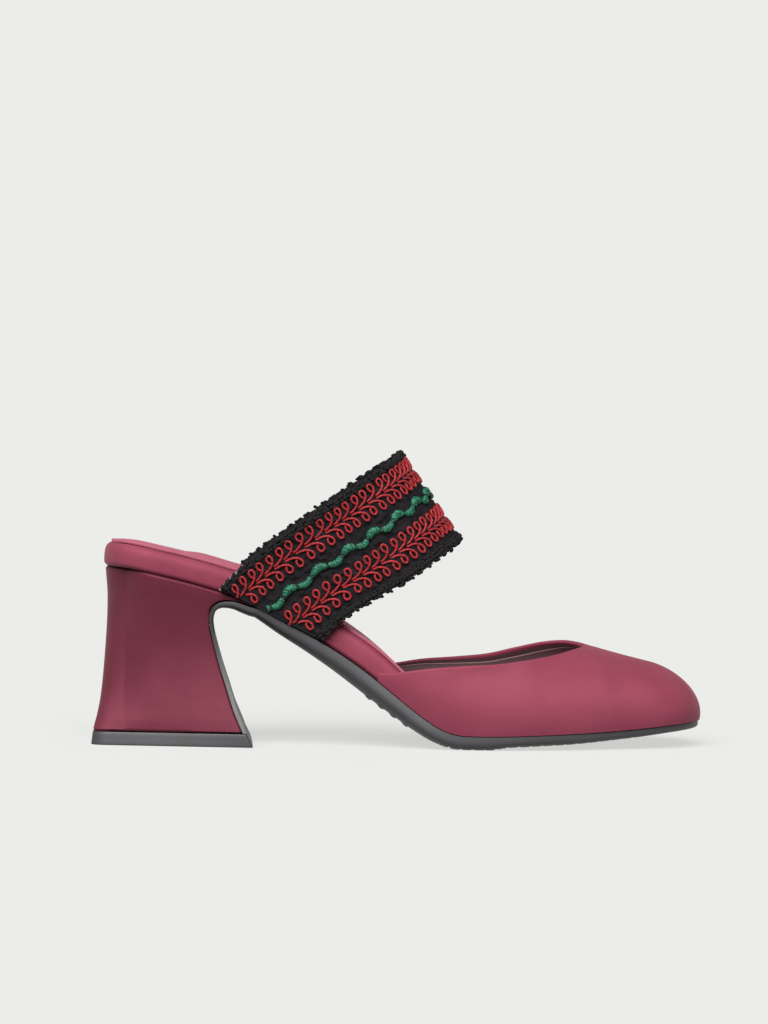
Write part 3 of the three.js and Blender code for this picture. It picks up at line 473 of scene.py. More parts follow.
def side_stations(x, z, dx, dz):
    """Places along a side profile, with the unit normals that point up out of it."""
    length = np.hypot(dx, dz)
    return np.stack([x, z], -1), np.stack([-dz / length, np.zeros_like(x), dx / length], -1)


def feather_stations(x):
    slope = feather_height(x + 0.5) - feather_height(x - 0.5)
    return side_stations(x, feather_height(x), np.full_like(x, 1.0), slope)


flap_t = np.linspace(0, 1, flap_stations + 1)
flap_xz = breast_at(flap_t)
flap_d = breast_at(np.clip(flap_t + 1e-3, 0, 1)) - breast_at(np.clip(flap_t - 1e-3, 0, 1))
flap_d[:, 0] *= ease_over(flap_t, 0, flap_cut)
flap_place, flap_normal = side_stations(flap_xz[:, 0], flap_xz[:, 1], flap_d[:, 0], flap_d[:, 1])
tread_t = np.linspace(0, 1, tread_stations + 1)
tread_t = mix(tread_t, np.sin(np.pi / 2 * tread_t), 0.4)
tread_x = mix(bend_end + join_reach, shoe_length - toe_tuck - tip_gap, tread_t)
tread_place, tread_normal = feather_stations(tread_x)
sole_normal = np.concatenate([flap_normal, tread_normal])
sole_place = np.concatenate([flap_place, tread_place]) - sole_normal[:, [0, 2]] * seam
sole_flap = ease_over(np.concatenate([flap_t, np.ones(tread_stations + 1)]), 0.55, 0.95)
sole_at = sole_place[:, 0] / shoe_length
sole_deep = mix(flap_thickness, profile["sole"](sole_at) * sole_thickness, sole_flap)
sole_waist = sole_flap * (1 - ease_over(sole_at, 0.44, 0.56))
sole_toe = rounded_end(shoe_length - sole_place[:, 0], toe_round)


def across_edge(line, normals):
    """Unit vectors square to an edge line, in its surface."""
    return unit(np.cross(np.gradient(line, axis=0), normals))


def meet_axis(line, side):
    """An inset edge line, with the points that have crossed the axis at a rounded end put on it."""
    met, axis = line.copy(), axis_at(line[:, 0])
    met[:, 1] = np.where(side * (line[:, 1] - axis) < 0, axis, line[:, 1])
    return met


def sole_edge(side):
    x, z = sole_place[:, 0], sole_place[:, 1]
    up = np.clip(heel_share(np.minimum(x, bend_end), z), 0, 1)
    breast = heel_half_width(up, 1.0, x, side) - seam
    tuck = toe_tuck * ease_over(sole_at, 0.65, 0.9)
    tread = half_width(x + tuck, side) - tuck * rounded_end(shoe_length - x - tuck, toe_round)
    return np.stack([x, axis_at(x) + side * mix(breast, tread, sole_flap), z], -1)


def sole_line(side, i):
    """A line along the sole at step i of its section, from 0 underneath to 4 at the top of its wall."""
    edge = sole_edge(side)
    forepart = sole_flap * sole_form["inset"](i)
    inset = mix(forepart, sole_form["waist"](i), sole_waist) * sole_toe
    line = edge + across_edge(edge, sole_normal) * (side * inset)[:, None]
    return meet_axis(line - sole_normal * (sole_form["depth"](i) * sole_deep)[:, None], side)


def between(x, start, end, ease):
    """A share that rises over the ease after the start and falls over it before the end."""
    return ease_over(x, start, start + ease) * (1 - ease_over(x, end - ease, end))


def grip_depth(x, inset_share):
    """Ribs stand out of the waist's underside, and grooves are cut up into the forepart's."""
    rib = ease_over(np.cos((x - rib_first) / rib_pitch * 2 * np.pi), 0.2, 0.75)
    rib *= between(x, rib_from, rib_to, 1)
    groove = ease_over(np.cos((x - groove_first) / groove_pitch * 2 * np.pi), 0.6, 0.85)
    groove *= between(x, groove_from, groove_to, 3)
    return (rib * rib_height - groove * groove_depth) * inset_share


def joined(start, end, steps):
    """The lines between two edge lines, without the edge lines themselves."""
    return [mix(start, end, t) for t in np.linspace(0, 1, steps + 1)[1:-1]]


sole_sides = []
for side in (outer_side, inner_side):
    lines = []
    for i in sole_steps:
        line = sole_line(side, i)
        grip = grip_depth(line[:, 0], ease_over(1.3 - i, 0, 0.9) * sole_flap)
        lines.append(line - sole_normal * grip[:, None])
    sole_sides.append(lines)
outer, inner = sole_sides
sole_ring = outer + joined(outer[-1], inner[-1], 13) + inner[::-1] + joined(inner[0], outer[0], 5)
sole_grid = np.swapaxes(np.array(sole_ring), 0, 1)
on_tread = (sole_flap > 0.999)[:, None]
sole_grid[..., 2] = np.where(on_tread, np.maximum(sole_grid[..., 2], 0), sole_grid[..., 2])
build_piece("outsole_moulding", [sole_grid], sole_rubber, ["outsole"], sharp=40)

# Footbed: a board padded with thin foam and wrapped in the rose satin, thick from the heel to the
# waist and thin inside the vamp. Its edge is full and round where the satin is pulled over the foam.
vamp_wall = 1.6
bed_inset = vamp_wall + seam
seat_inset = 0.5
footbed_thickness = 8.8
forepart_share = 0.5
bed_stations = 320
bed_rows = {
    "i": (0, 1, 2, 3, 4, 5),
    "inset": (1.1, 0.25, 0.0, 0.1, 0.75, 2.1),
    "up": (0.0, 0.09, 0.24, 0.62, 0.86, 1.0),
}
bed_form = curves_of(bed_rows)
fine_pull, fine_pull_size = 0.09, 5.5  # of the satin round the board's edge
broad_pull, broad_pull_size = 0.12, 13
rose_satin = finish_of("rose_satin", duchess_satin("#6E313F", "#652A38"))
bed_x = mix(tip_gap, shoe_length - tip_gap, (1 - np.cos(np.pi * np.linspace(0, 1, bed_stations + 1))) / 2)
bed_place, bed_normal = feather_stations(bed_x)
bed_back = mix(seat_inset, bed_inset, ease_over(bed_x / shoe_length, 0, 0.09))
bed_thickness = footbed_thickness * mix(1, forepart_share, ease_over(bed_x / shoe_length, 0.4, 0.62))


def bed_line(side, inset, height):
    """An edge line of what lies on the footbed: drawn in by an inset and raised along the normals."""
    edge = np.stack([bed_x, axis_at(bed_x) + side * half_width(bed_x, side), bed_place[:, 1]], -1)
    line = edge + across_edge(edge, bed_normal) * (side * (bed_back + inset))[:, None]
    return meet_axis(line + bed_normal * np.broadcast_to(height, bed_x.shape)[:, None], side)


def layer(rings, columns, crown=None):
    """A closed slab from (inset, height) edge lines, lowest first, with columns across its faces."""
    outer = [bed_line(outer_side, inset, height) for inset, height in rings]
    inner = [bed_line(inner_side, inset, height) for inset, height in rings]
    shares = np.linspace(0, 1, columns + 1)[1:-1]
    top = joined(outer[-1], inner[-1], columns)
    if crown is not None:
        top = [line + np.array([0, 0, 1]) * crown(line[:, 0], t)[:, None] for line, t in zip(top, shares)]
    bottom = [mix(inner[0], outer[0], t) for t in shares[::2]]
    return np.swapaxes(np.array(outer + top + inner[::-1] + bottom), 0, 1)


bed_rings = [(bed_form["inset"](i), bed_form["up"](i) * bed_thickness) for i in np.linspace(0, 5, 31)]
bed_grid = layer(bed_rings, 10)
bed_pull = fine_pull * ripple(bed_grid * [0.5, 1, 1], fine_pull_size, 11)
bed_pull += broad_pull * ripple(bed_grid * [0.4, 1, 1], broad_pull_size, 12)
bed_grid[..., 1] += np.sign(bed_grid[..., 1]) * bed_pull * (bed_grid[..., 0] > 2)
build_piece("footbed_wrap", [bed_grid], rose_satin, ["footbed"])

# Sock: a sheet of foam lined with satin and glued on the footbed, its edge turned under, with a pad
# of softer foam under the inner arch.
sock_thickness = 1.0
sock_inset = 2.4
sock_edge = ((0.25, -0.18), (0.07, 0.08), (0.0, 0.35), (0.0, 0.6), (0.08, 0.8), (0.3, 0.94), (0.8, 1.0))
arch_pad = 1.3


def arch_crown(x, share):
    at = x / shoe_length
    along = ease_over(at, 0.12, 0.17) * (1 - ease_over(at, 0.36, 0.5))
    return arch_pad * along * np.sin(np.pi * share ** 1.7) ** 2


# The sock's satin is the rose satin painted lighter, as painted light on its upward-facing top, with a
# stronger sheen.
sock_satin = finish_of("sock_satin", duchess_satin("#8A4A58", "#804250", bloom=0.5))
sock_rings = [(sock_inset + inset, bed_thickness + seam + up * sock_thickness) for inset, up in sock_edge]
sock_grid = layer(sock_rings, 36, arch_crown)
sock = build_piece("satin_sock", [sock_grid], sock_satin, ["sock_lining"])

# Vamp: satin over a stiff backing, lasted over the toe's form, pulled under the edge of the sole and
# folded in over a tape at the topline, where a dark sheet inside stands for the turned-in satin in shadow as
# painted shade. Ribs rise from the sole's edge to the topline or the ridge.
throat_height = 31.6
toe_box_height = 25.2
vamp_bulge = 3.1
ridge_lean = 0.04
toe_fill = 0.5
swell_turn = 0.5
wall_splay = 0.12
wall_reach = 0.34
vamp_skin = 1.1  # of the wall, short of its linings
fold_radius = vamp_wall / 2
vamp_rows = {
    "i": (0, 0.1, 0.2, 0.3, 0.4, 0.5, 0.6, 0.7, 0.8, 0.9, 1.0),
    "foot": (0.452, 0.471, 0.498, 0.543, 0.6, 0.662, 0.72, 0.765, 0.803, 0.832, 0.853),
    "top": (0.455, 0.473, 0.5, 0.543, 0.598, 0.652, 0.7, 0.742, 0.775, 0.797, 0.808),
    "low": (0.69, 0.69, 0.715, 0.76, 0.79, 0.813, 0.858, 0.908, 0.958, 0.988, 1.0),
    "inner_up": (0, 0, 0, 0, 0, 0.02, 0.065, 0.095, 0.075, 0.03, 0),
    "open": (1.0, 1.005, 1.01, 0.99, 0.93, 0.85, 0.745, 0.605, 0.44, 0.24, 0.0),
    "fill": (0.4, 0.45, 0.5, 0.5, 0.5, 0.51, 0.52, 0.54, 0.56, 0.57, 0.57),
    "lean": (1, 1, 0.98, 0.95, 0.88, 0.77, 0.62, 0.44, 0.26, 0.1, 0),
}
ridge_rows = {"at": (0.808, 0.835, 0.862, 0.889, 0.915), "fall": (0.0, 0.265, 0.525, 0.775, 1.0)}
vamp_at = curves_of(vamp_rows)
ridge_fall = curves_of(ridge_rows)["fall"]
ridge_start, ridge_end = ridge_rows["at"][0], ridge_rows["at"][-1]
throat_floor = feather_height(ridge_start * shoe_length)
vamp_creases = (
    ((189, 0, 37.8), (197, -11, 32), 2.4, 0.12),
    ((171, -31, 29), (186, -27, 24), 4.5, 0.1),
    ((197, 8, 33), (204, 19, 24), 3.5, 0.1),
)


def ridge_point(at):
    x = at * shoe_length
    height = mix(throat_height, toe_box_height, ridge_fall(at))
    return np.stack([x, axis_at(x) + ridge_lean * half_ball, throat_floor + height], -1)


def ridge_slope(at):
    a, b = ridge_point(np.clip(at - 1e-3, ridge_start, 1)), ridge_point(np.clip(at + 1e-3, 0, ridge_end))
    return (b[..., 2] - a[..., 2]) / (b[..., 0] - a[..., 0])


def vamp_point(t, v, side):
    """A point of the vamp's outer face: t picks the rib, to 1 at the throat and 2 at the toe tip, and v
    runs from 0 at the sole to 1 at the rib's top."""
    t, v = np.broadcast_arrays(np.asarray(t, float), np.asarray(v, float))
    wing = np.minimum(t, 1)
    past = np.maximum(t - 1, 0)
    toe = mix(past, past * past * (3 - 2 * past), 0.35)
    foot_x = np.minimum(mix(vamp_at["foot"](wing), 1, np.sin(np.pi / 2 * toe)) * shoe_length, shoe_length)
    foot = np.stack([foot_x, axis_at(foot_x) + side * half_width(foot_x, side), feather_height(foot_x)], -1)
    top_x = vamp_at["top"](wing) * shoe_length
    up = vamp_at["low"](wing) + (vamp_at["inner_up"](wing) if side > 0 else 0)
    ridge_y = axis_at(top_x) + ridge_lean * half_ball * (1 - vamp_at["open"](wing))
    wing_top = np.stack([top_x, ridge_y + side * vamp_at["open"](wing) * half_width(top_x, side),
                         throat_floor + up * throat_height], -1)
    ridge_at = mix(ridge_start, ridge_end, toe)
    top = np.where((t >= 1)[..., None], ridge_point(ridge_at), wing_top)
    slope = np.where(t >= 1, ridge_slope(ridge_at), ridge_slope(ridge_start) * wing * wing * (3 - 2 * wing))
    lean = np.where(t >= 1, 0, vamp_at["lean"](wing))
    fill = np.where(t >= 1, mix(vamp_at["fill"](1.0), toe_fill, toe), vamp_at["fill"](wing))
    outward = (foot - top) * [1, 1, 0]
    reach = np.linalg.norm(outward, axis=-1)
    height = top[..., 2] - foot[..., 2]
    sideways = np.where(t < 1, side * np.abs(outward[..., 1]), outward[..., 1])
    swell = unit(np.stack([outward[..., 0] * ease_over(t, swell_turn, 1), sideways, np.zeros_like(t)], -1))
    low = foot + swell * (vamp_bulge * np.clip(height / throat_height, 0, 1))[..., None]
    low[..., 2] += height * fill
    level = outward / np.maximum(reach, 1e-6)[..., None]
    level[..., 2] = level[..., 0] * slope
    down = np.array([0, side * wall_splay, -1.0])
    high = top + level * ((1 - lean) * fill * reach)[..., None]
    high += down * (lean * height * wall_reach)[..., None]
    a, b, c = (1 - v) ** 3, 3 * v * (1 - v) ** 2, 3 * v * v * (1 - v)
    return foot * a[..., None] + low * b[..., None] + high * c[..., None] + top * (v ** 3)[..., None]


def vamp_normal(t, v, side):
    def one_side(s):
        along_t = vamp_point(np.minimum(t + 2e-3, 2), v, s) - vamp_point(np.maximum(t - 2e-3, 0), v, s)
        along_v = vamp_point(t, np.minimum(v + 2e-3, 1), s) - vamp_point(t, np.maximum(v - 2e-3, 0), s)
        return unit(np.cross(along_t, along_v) * -s)

    here = one_side(side)
    shared = unit(here + one_side(-side))
    on_ridge = (t > 2 - 1e-9) | ((t >= 1) & (v > 1 - 1e-9))
    return np.where(on_ridge[..., None], shared, here)


fine_v = np.linspace(0, 1, 241)


def rib_places(t, side):
    """For each rib, the arc length at each of fine_v's steps from the sole."""
    p = vamp_point(t[:, None], fine_v[None, :], side)
    steps = np.linalg.norm(np.diff(p, axis=1), axis=-1)
    return np.concatenate([np.zeros((len(t), 1)), np.cumsum(steps, axis=1)], axis=1)


def on_rib(lengths, arc):
    """v where each rib has run the arc length given for it."""
    return np.stack([np.interp(a, length, fine_v) for a, length in zip(arc, lengths)])


wing_t = np.concatenate([np.linspace(0, 0.85, 78)[:-1], np.linspace(0.85, 1, 26)])
toe_t = np.linspace(1, 2, 91)
vamp_t = np.concatenate([wing_t, toe_t[1:]])
turn_steps = np.linspace(0, np.pi / 2, 6)
rim_columns = (66, 81)  # of each rib's points, the last on the outer face and the first on the inner
foot_turn = 0.7  # radius of the satin where it turns in under the vamp's foot
face_steps, fold_steps, inside_steps = 61, 12, 23
folded_in = 1.5  # width of the satin's hem inside the topline
broad_slack, broad_slack_size = 0.1, 16
fine_slack, fine_slack_size = 0.05, 7


def vamp_half(side):
    """Half of the vamp as rows of points round each rib: up the outer face, over, and down inside."""
    lengths = rib_places(vamp_t, side)
    whole = lengths[:, -1]
    fold = fold_radius * (1 - ease_over(vamp_t, 0.9, 1.0))
    rim = 1 - ease_over(vamp_t, 0.95, 1.0)
    under = np.minimum(foot_turn, whole / 4)
    arcs, depths = [], []
    for a in turn_steps[::-1]:
        arcs.append(under * (1 - np.sin(np.pi / 2 - a)))
        depths.append(under * (1 - np.cos(a)) * 0.9)
    for share in np.linspace(0, 1, face_steps + 1)[1:-1]:
        arcs.append(mix(under, whole - fold, share))
        depths.append(np.zeros_like(whole))
    for a in np.linspace(0, np.pi, fold_steps + 1):
        arcs.append(whole - fold * (1 - np.sin(a)))
        depths.append(mix(vamp_skin, vamp_wall, rim) / 2 * (1 - np.cos(a)))
    for down, depth in ((0.6, vamp_wall), (1.3, vamp_wall), (folded_in, vamp_skin)):
        arcs.append(whole - fold - down * rim)
        depths.append(mix(vamp_skin, depth, rim))
    for share in np.linspace(0, 1, inside_steps + 1)[1:]:
        arcs.append((whole - fold - folded_in * rim) * (1 - share))
        depths.append(np.full_like(whole, vamp_skin))
    arcs, depths = np.array(arcs).T, np.array(depths).T
    v = on_rib(lengths, np.clip(arcs, 0, whole[:, None]))
    v = np.where(arcs >= whole[:, None] - 1e-9, 1.0, v)
    t = np.broadcast_to(vamp_t[:, None], v.shape)
    face = vamp_point(t, v, side)
    normal = vamp_normal(t, v, side)
    slack = broad_slack * ripple(face, broad_slack_size, 21) + fine_slack * ripple(face, fine_slack_size, 22)
    slack *= ease_over(whole[:, None] - arcs, 0, 4) * ease_over(arcs, 0, 5) * ease_over(2 - t, 0, 0.08)
    slack *= np.where(depths < 0.05, 1, 0)
    points = face + normal * (slack - depths)[..., None]
    return points, normal


vamp_grids = []
for side in (outer_side, inner_side):
    points = creased(*vamp_half(side), vamp_creases)
    throat = len(wing_t)
    outer_last, inner_first = rim_columns
    vamp_grids.append((points[:throat], True, False))
    toe = points[throat - 1:]
    toe = np.concatenate([toe[:, inner_first:], toe[:, :outer_last + 1]], axis=1)
    vamp_grids.append((toe, False, False))
build_piece("vamp_satin", vamp_grids, rose_satin, ["vamp"], sharp=70, weld=0.02)


def vamp_sheet(name, cloth, from_top, to_top, depths, ribs, rows):
    """A thin layer inside the vamp, from one distance below the topline at the throat to another, or to
    the sole. The distances draw in to a third at the wings' ends. Its depths are those of its two faces."""
    t = vamp_t[(vamp_t > ribs[0]) & (vamp_t <= ribs[1])]
    halves = []
    for side in (outer_side, inner_side):
        lengths = rib_places(t, side)
        whole = lengths[:, -1]
        closer = mix(0.33, 1, ease_over(t, 0.1, 0.8)) * (1 - ease_over(t, 0.95, 1.0))
        high = whole - from_top * closer - 0.02
        low = 0.4 if to_top is None else np.minimum(whole - to_top * closer, high - 0.05)
        spans = np.linspace(0, 1, rows + 1)
        arcs = np.array([mix(low, high, s) for s in spans] + [mix(high, low, s) for s in spans]).T
        v = on_rib(lengths, np.clip(arcs, 0, whole[:, None]))
        tt = np.broadcast_to(t[:, None], v.shape)
        depth = np.repeat(depths, rows + 1)[None, :, None]
        halves.append(vamp_point(tt, v, side) - vamp_normal(tt, v, side) * depth)
    build_piece(name, halves, cloth, sharp=60)


def threaded(loop_mm, detail, places, colours, bump, gloss, rough=0.5):
    """Cloth or cord whose colour and relief both follow its threads, with painted shade in the hollows."""
    def make(tree):
        loops = grain(tree, loop_mm, detail, rough)
        return add_node(tree, "BsdfPrincipled", gloss, {
            "Base Color": blend_colours(tree, loops, places, colours), "Normal": relief(tree, loops, *bump)})

    return make


def tricot_lining(colour, shade):
    """Brushed tricot lining: a fine matt knit, drawn at 0.5 mm a loop."""
    return threaded(0.5, 2.0, (0.35, 0.65), (shade, colour), (0.3, 0.2),
                    {"Roughness": 0.8, "Sheen Weight": 0.2, "Sheen Roughness": 0.5})


# The topline facing is a dark sheet inside the topline that stands for the satin turned in there, in shadow:
# painted shade.
facing_cloth_painted_shade = finish_of("topline_facing_painted_shade", tricot_lining("#35121B", "#2C0E16"))
lining_cloth = finish_of("vamp_lining_cloth", tricot_lining("#5E474A", "#503B3F"))
# The lining's edge is a paler strip: partly a paler edge, partly a painted highlight where the edge catches
# light.
lining_edge_and_highlight = finish_of("lining_edge_and_highlight", tricot_lining("#8C746C", "#7A625A"))
facing_depths, edge_depths = (vamp_wall, vamp_skin + 0.04), (vamp_wall + 0.2, vamp_skin + 0.05)
vamp_sheet("topline_facing_painted_shade", facing_cloth_painted_shade, 1.7, 4.1, facing_depths, (0.012, 1.0), 5)
vamp_sheet("vamp_lining", lining_cloth, 4.3, None, facing_depths, (0.012, 1.97), 16)
vamp_sheet("lining_edge_and_highlight", lining_edge_and_highlight, 4.0, 4.5, edge_depths, (0.09, 0.97), 3)

# Instep strap, its lining: a ribbed tape that leaves the footbed's sides, leans forward and turns
# over the instep. The trim is sewn on it, and its pale selvedge shows at the foot of the rear edge.
strap_width = 39.6
strap_lean = math.radians(35.2)
strap_crest = np.array([111.5, 0, 109.4])
strap_waist = 3.0
tape_edge = 1.9  # the tape's edges stand back under the trim's
strap_gather = 6.0
strap_tuck_gap = 0.5
strap_top_radius = 26.0
strap_lining_thickness = 0.9
braid_thickness = 1.4
strap_steps = 260
up_strap = np.array([math.cos(strap_lean), 0, math.sin(strap_lean)])
across_strap = np.array([math.sin(strap_lean), 0, -math.cos(strap_lean)])


def gather_at(share):
    return strap_gather * (1 - share) ** 2


def find_drops(shares):
    """Length of each fibre of the ribbon, seen from the side, from its top to the footbed's underside."""
    top = strap_crest + across_strap * (shares * strap_width)[:, None]
    near, far = np.full(len(shares), strap_top_radius), np.full(len(shares), strap_crest[0])
    for _ in range(40):
        middle = (near + far) / 2
        p = top - up_strap * middle[:, None]
        above = p[:, 2] > feather_height(p[:, 0] + gather_at(shares)) + strap_tuck_gap
        near, far = np.where(above, middle, near), np.where(above, far, middle)
    return near


drop_shares = np.linspace(-0.2, 1.2, 141)
drops = find_drops(drop_shares)
strap_turn = strap_top_radius * math.pi / 2


def fibre_length(across):
    """Half the length of a fibre of the ribbon at a distance from its rear edge."""
    return strap_turn + np.interp(across / strap_width, drop_shares, drops) - strap_top_radius


def strap_point(along, across, height):
    """A point on the strap, in millimetres along the ribbon from the top of the instep, down the outer
    side below zero, across it from the rear edge, and over the lining's inner face."""
    along, across, height = np.broadcast_arrays(*(np.asarray(a, float) for a in (along, across, height)))
    side = np.where(along < 0, -1.0, 1.0)
    share = across / strap_width
    top = strap_crest + across_strap * across[..., None]
    drop = np.interp(share, drop_shares, drops)
    straight = drop - strap_top_radius
    run = np.abs(along)
    angle = np.minimum(run, strap_turn) / strap_top_radius
    t = np.maximum(run - strap_turn, 0) / straight
    foot_x = top[..., 0] - up_strap[0] * drop + gather_at(share)
    foot = np.where(side < 0, half_width(foot_x, outer_side), half_width(foot_x, inner_side))
    foot = foot - bed_inset + seam
    turning = run < strap_turn
    eased = t * t * (3 - 2 * t)
    down = np.where(turning, strap_top_radius * (1 - np.cos(angle)), strap_top_radius + t * straight)
    out = np.where(turning, strap_top_radius * np.sin(angle), mix(strap_top_radius, foot, eased))
    tilt = (foot - strap_top_radius) * 6 * t * (1 - t) / straight
    size = np.hypot(tilt, 1)
    normal_up = np.where(turning, np.cos(angle), tilt / size)
    normal_out = np.where(turning, np.sin(angle), 1 / size)
    drawn = np.where(turning, 0, gather_at(share) * t ** 4 - strap_waist * share ** 2 * np.sin(np.pi * t))
    p = top + up_strap * (-down + normal_up * height)[..., None]
    p[..., 0] += drawn
    p[..., 1] += side * (out + normal_out * height)
    return p


def band(section, start=-1.0, end=1.0, steps=strap_steps):
    """A closed band along the strap from a ring of (across, height) points, between shares of each
    fibre's half length."""
    across, height = np.array(section, float).T
    along = np.linspace(start, end, steps + 1)[:, None] * fibre_length(across)[None, :]
    return strap_point(along, across[None, :], height[None, :])


def ribbed_tape(colour, shade):
    """Ribbed polyester tape: a plain weave with thick wefts, drawn at 0.6 mm a rib."""
    return threaded(0.6, 2.0, (0.35, 0.65), (shade, colour), (0.5, 0.2), {"Roughness": 0.7})


lining_tape = finish_of("lining_tape", ribbed_tape("#4A343A", "#3E2A30"))
tape_across = np.linspace(tape_edge, strap_width - tape_edge, 16)
tape_ring = [(w, strap_lining_thickness) for w in tape_across] + [(w, 0) for w in tape_across[::-1]]
build_piece("strap_tape", [band(tape_ring)], lining_tape, ["strap_lining"])
selvedge = finish_of("tape_selvedge", ribbed_tape("#6E605C", "#5E504C"))
selvedge_ring = [(-1.0, 0.75), (-0.6, 1.0), (0.9, 0.95), (0.9, 0.5), (-0.6, 0.45), (-1.0, 0.55)]
build_piece("tape_selvedge", [band(selvedge_ring, -1.0, -0.88, 20)], selvedge)

# Braid ground: the black cotton braid of the trim, woven slack, so that it puckers between the rows
# of gimp that are sewn through it. The trim is eased on, and its pattern closes up over the instep.
ground = strap_lining_thickness + seam
ground_top = ground + braid_thickness
ground_steps, ground_columns = 430, 76
ground_past = 0.2  # over each edge of the solid braid
pucker_height, pucker_size = 0.5, 2.7
weave_height, weft_pitch, warp_pitch = 0.14, 1.3, 1.2
loop_height, loop_size = 0.3, 1.2
eased_share, eased_to, eased_from = 0.74, 44, 60
pattern_s = np.linspace(0, 130, 521)
pattern_steps = 1 / mix(eased_share, 1, ease_over(pattern_s, eased_to, eased_from))
pattern_run = np.concatenate([[0], np.cumsum((pattern_steps[1:] + pattern_steps[:-1]) / 2 * pattern_s[1])])


def to_pattern(along):
    """Where a place along the strap lies in the trim's own pattern."""
    return np.sign(along) * np.interp(np.abs(along), pattern_s, pattern_run)


def from_pattern(run):
    return np.sign(run) * np.interp(np.abs(run), pattern_run, pattern_s)


def black_cotton(colour, shade, loop_mm=0.7):
    """Mercerised black cotton thread: matt, with painted shade in its grooves where its fibres hold little
    light.
    """
    return threaded(loop_mm, 3.0, (0.35, 0.7), (shade, colour), (0.7, 0.3),
                    {"Roughness": 0.85, "Specular IOR Level": 0.2}, rough=0.6)


ground_cotton = finish_of("ground_cotton", black_cotton("#120C12", "#050305"))
ground_along = np.linspace(-1, 1, ground_steps + 1)[:, None]
ground_across = np.linspace(-ground_past, strap_width + ground_past, ground_columns)[None, :]
ground_s = ground_along * fibre_length(ground_across)
flat = np.stack(np.broadcast_arrays(ground_s, ground_across, 0.0), -1)
puckers = 1 - 2 * np.abs(ripple(flat * [1, 1.15, 1], pucker_size, 31))
weave = np.cos(ground_s / weft_pitch * 2 * np.pi) * np.cos(ground_across / warp_pitch * 2 * np.pi)
slack = pucker_height * puckers + weave_height * weave + loop_height * ripple(flat, loop_size, 32)
ground_height = ground_top + slack * ease_over(1 - np.abs(ground_along), 0, 0.03)
ground_face = strap_point(ground_s, ground_across, ground_height)
back_across = np.linspace(strap_width + ground_past, -ground_past, 6)[None, :]
ground_back = strap_point(ground_along * fibre_length(back_across), back_across, ground)
ground_grid = np.concatenate([ground_face, ground_back], axis=1)
build_piece("strap_ground", [ground_grid], ground_cotton, ["strap_braid"], sharp=80)

# Frilled edges: along both edges of the trim the black cotton is drawn up into three rows of fat
# little loops, the outermost hanging past the edge.
frill_rows = ((0.0, 1.15, 0.5), (1.1, 1.25, 0.7), (2.1, 1.3, -0.05))  # across, pitch, rise
knob_radius = 0.68
loop_steps = 8
loop_rise, loop_foot = 0.75, 0.45  # over the ground, and sunk in it
frill_wave, frill_swing, frill_lift = 4.0, 0.5, 0.3  # length of the edge's own wave, out and up


def cord_grid(along, across, height, radius, sides=8, twist=0.0, pitch=1.9, flatten=1.0):
    """Cords on the strap as a batch of tubes. Each row of along, across and height is one cord's path.
    A twist above zero gives the two plies of a spun cord."""
    p = strap_point(along, across, height)
    normal = unit(strap_point(along, across, height + 0.5) - strap_point(along, across, height - 0.5))
    tangent = unit(np.gradient(p, axis=-2))
    sideways = unit(np.cross(normal, tangent))
    upward = np.cross(tangent, sideways)
    run = np.cumsum(np.linalg.norm(np.diff(p, axis=-2, prepend=p[..., :1, :]), axis=-1), axis=-1)
    phi = np.linspace(0, 2 * np.pi, sides + 1)[:-1]
    ply = 1 + twist * np.cos(2 * phi - 2 * np.pi * run[..., None] / pitch)
    r = np.broadcast_to(radius, run.shape)[..., None] * ply
    return (p[..., None, :] + sideways[..., None, :] * (r * np.cos(phi))[..., None]
            + upward[..., None, :] * (r * np.sin(phi) * flatten)[..., None])


def frill(rear):
    """One frilled edge: rows of short arched loops, each turned a little its own way."""
    random = np.random.default_rng(41 if rear else 42)
    grids = []
    for row, (across, pitch, rise) in enumerate(frill_rows):
        half = fibre_length(across if rear else strap_width - across) - 1.2
        at = np.arange(-half, half, pitch)
        at = at + random.uniform(-0.3, 0.3, len(at)) + 0.5 * pitch * (row % 2)
        at = np.clip(at, -half, half)
        wave = np.sin(at / frill_wave * 2 * np.pi + random.uniform(0, 6))
        turn = random.uniform(-0.6, 0.6, len(at)) + (0.5 if row % 2 else -0.6)
        reach = random.uniform(0.75, 1.1, len(at))
        arc = np.linspace(-1, 1, loop_steps)
        s = at[:, None] + np.cos(turn)[:, None] * arc * reach[:, None]
        w = across - frill_swing * wave[:, None] * (row == 0) + np.sin(turn)[:, None] * arc * reach[:, None]
        w += random.uniform(-0.25, 0.25, len(at))[:, None]
        crown = rise + loop_rise + frill_lift * wave[:, None] + random.uniform(-0.2, 0.3, len(at))[:, None]
        h = ground_top - loop_foot + crown * (1 - arc ** 2)
        radius = knob_radius * random.uniform(0.85, 1.12, len(at))[:, None] * (1 - 0.35 * arc ** 4)
        grids.append(cord_grid(s, w if rear else strap_width - w, h, radius, sides=7, twist=0.12, pitch=1.2))
    return grids


frill_cotton = finish_of("frill_cotton", black_cotton("#141114", "#070607", 0.45))
build_piece("rear_frill", frill(True), frill_cotton, sharp=80)
build_piece("front_frill", frill(False), frill_cotton, sharp=80)

# Gimp rows: two rows of red scroll gimp. In each, two mirrored lines of twisted rayon cord leave a
# narrow black stem, run up the strap as they part from it, and close in a ring with a tucked end.
gimp_rows = ((7.4, -110.1), (29.1, -111.0))  # stem from the rear edge, and first scroll in the pattern
gimp_pitch = 4.85
gimp_cord = 0.46
scroll_steps = 34
scroll_path = path_through([
    (-4.6, 0.5, 2.75), (-3.0, 0.62, 3.0), (-1.2, 1.1, 3.3), (0.25, 1.95, 3.55), (1.25, 3.1, 3.65),
    (1.5, 4.25, 3.65), (1.1, 5.15, 3.6), (0.2, 5.5, 3.5), (-0.65, 4.95, 3.45), (-0.9, 3.85, 3.4),
    (-0.55, 2.8, 3.3), (0.15, 2.25, 3.0),
], scroll_steps * 8)
scroll = scroll_path(np.linspace(0, 1, scroll_steps))


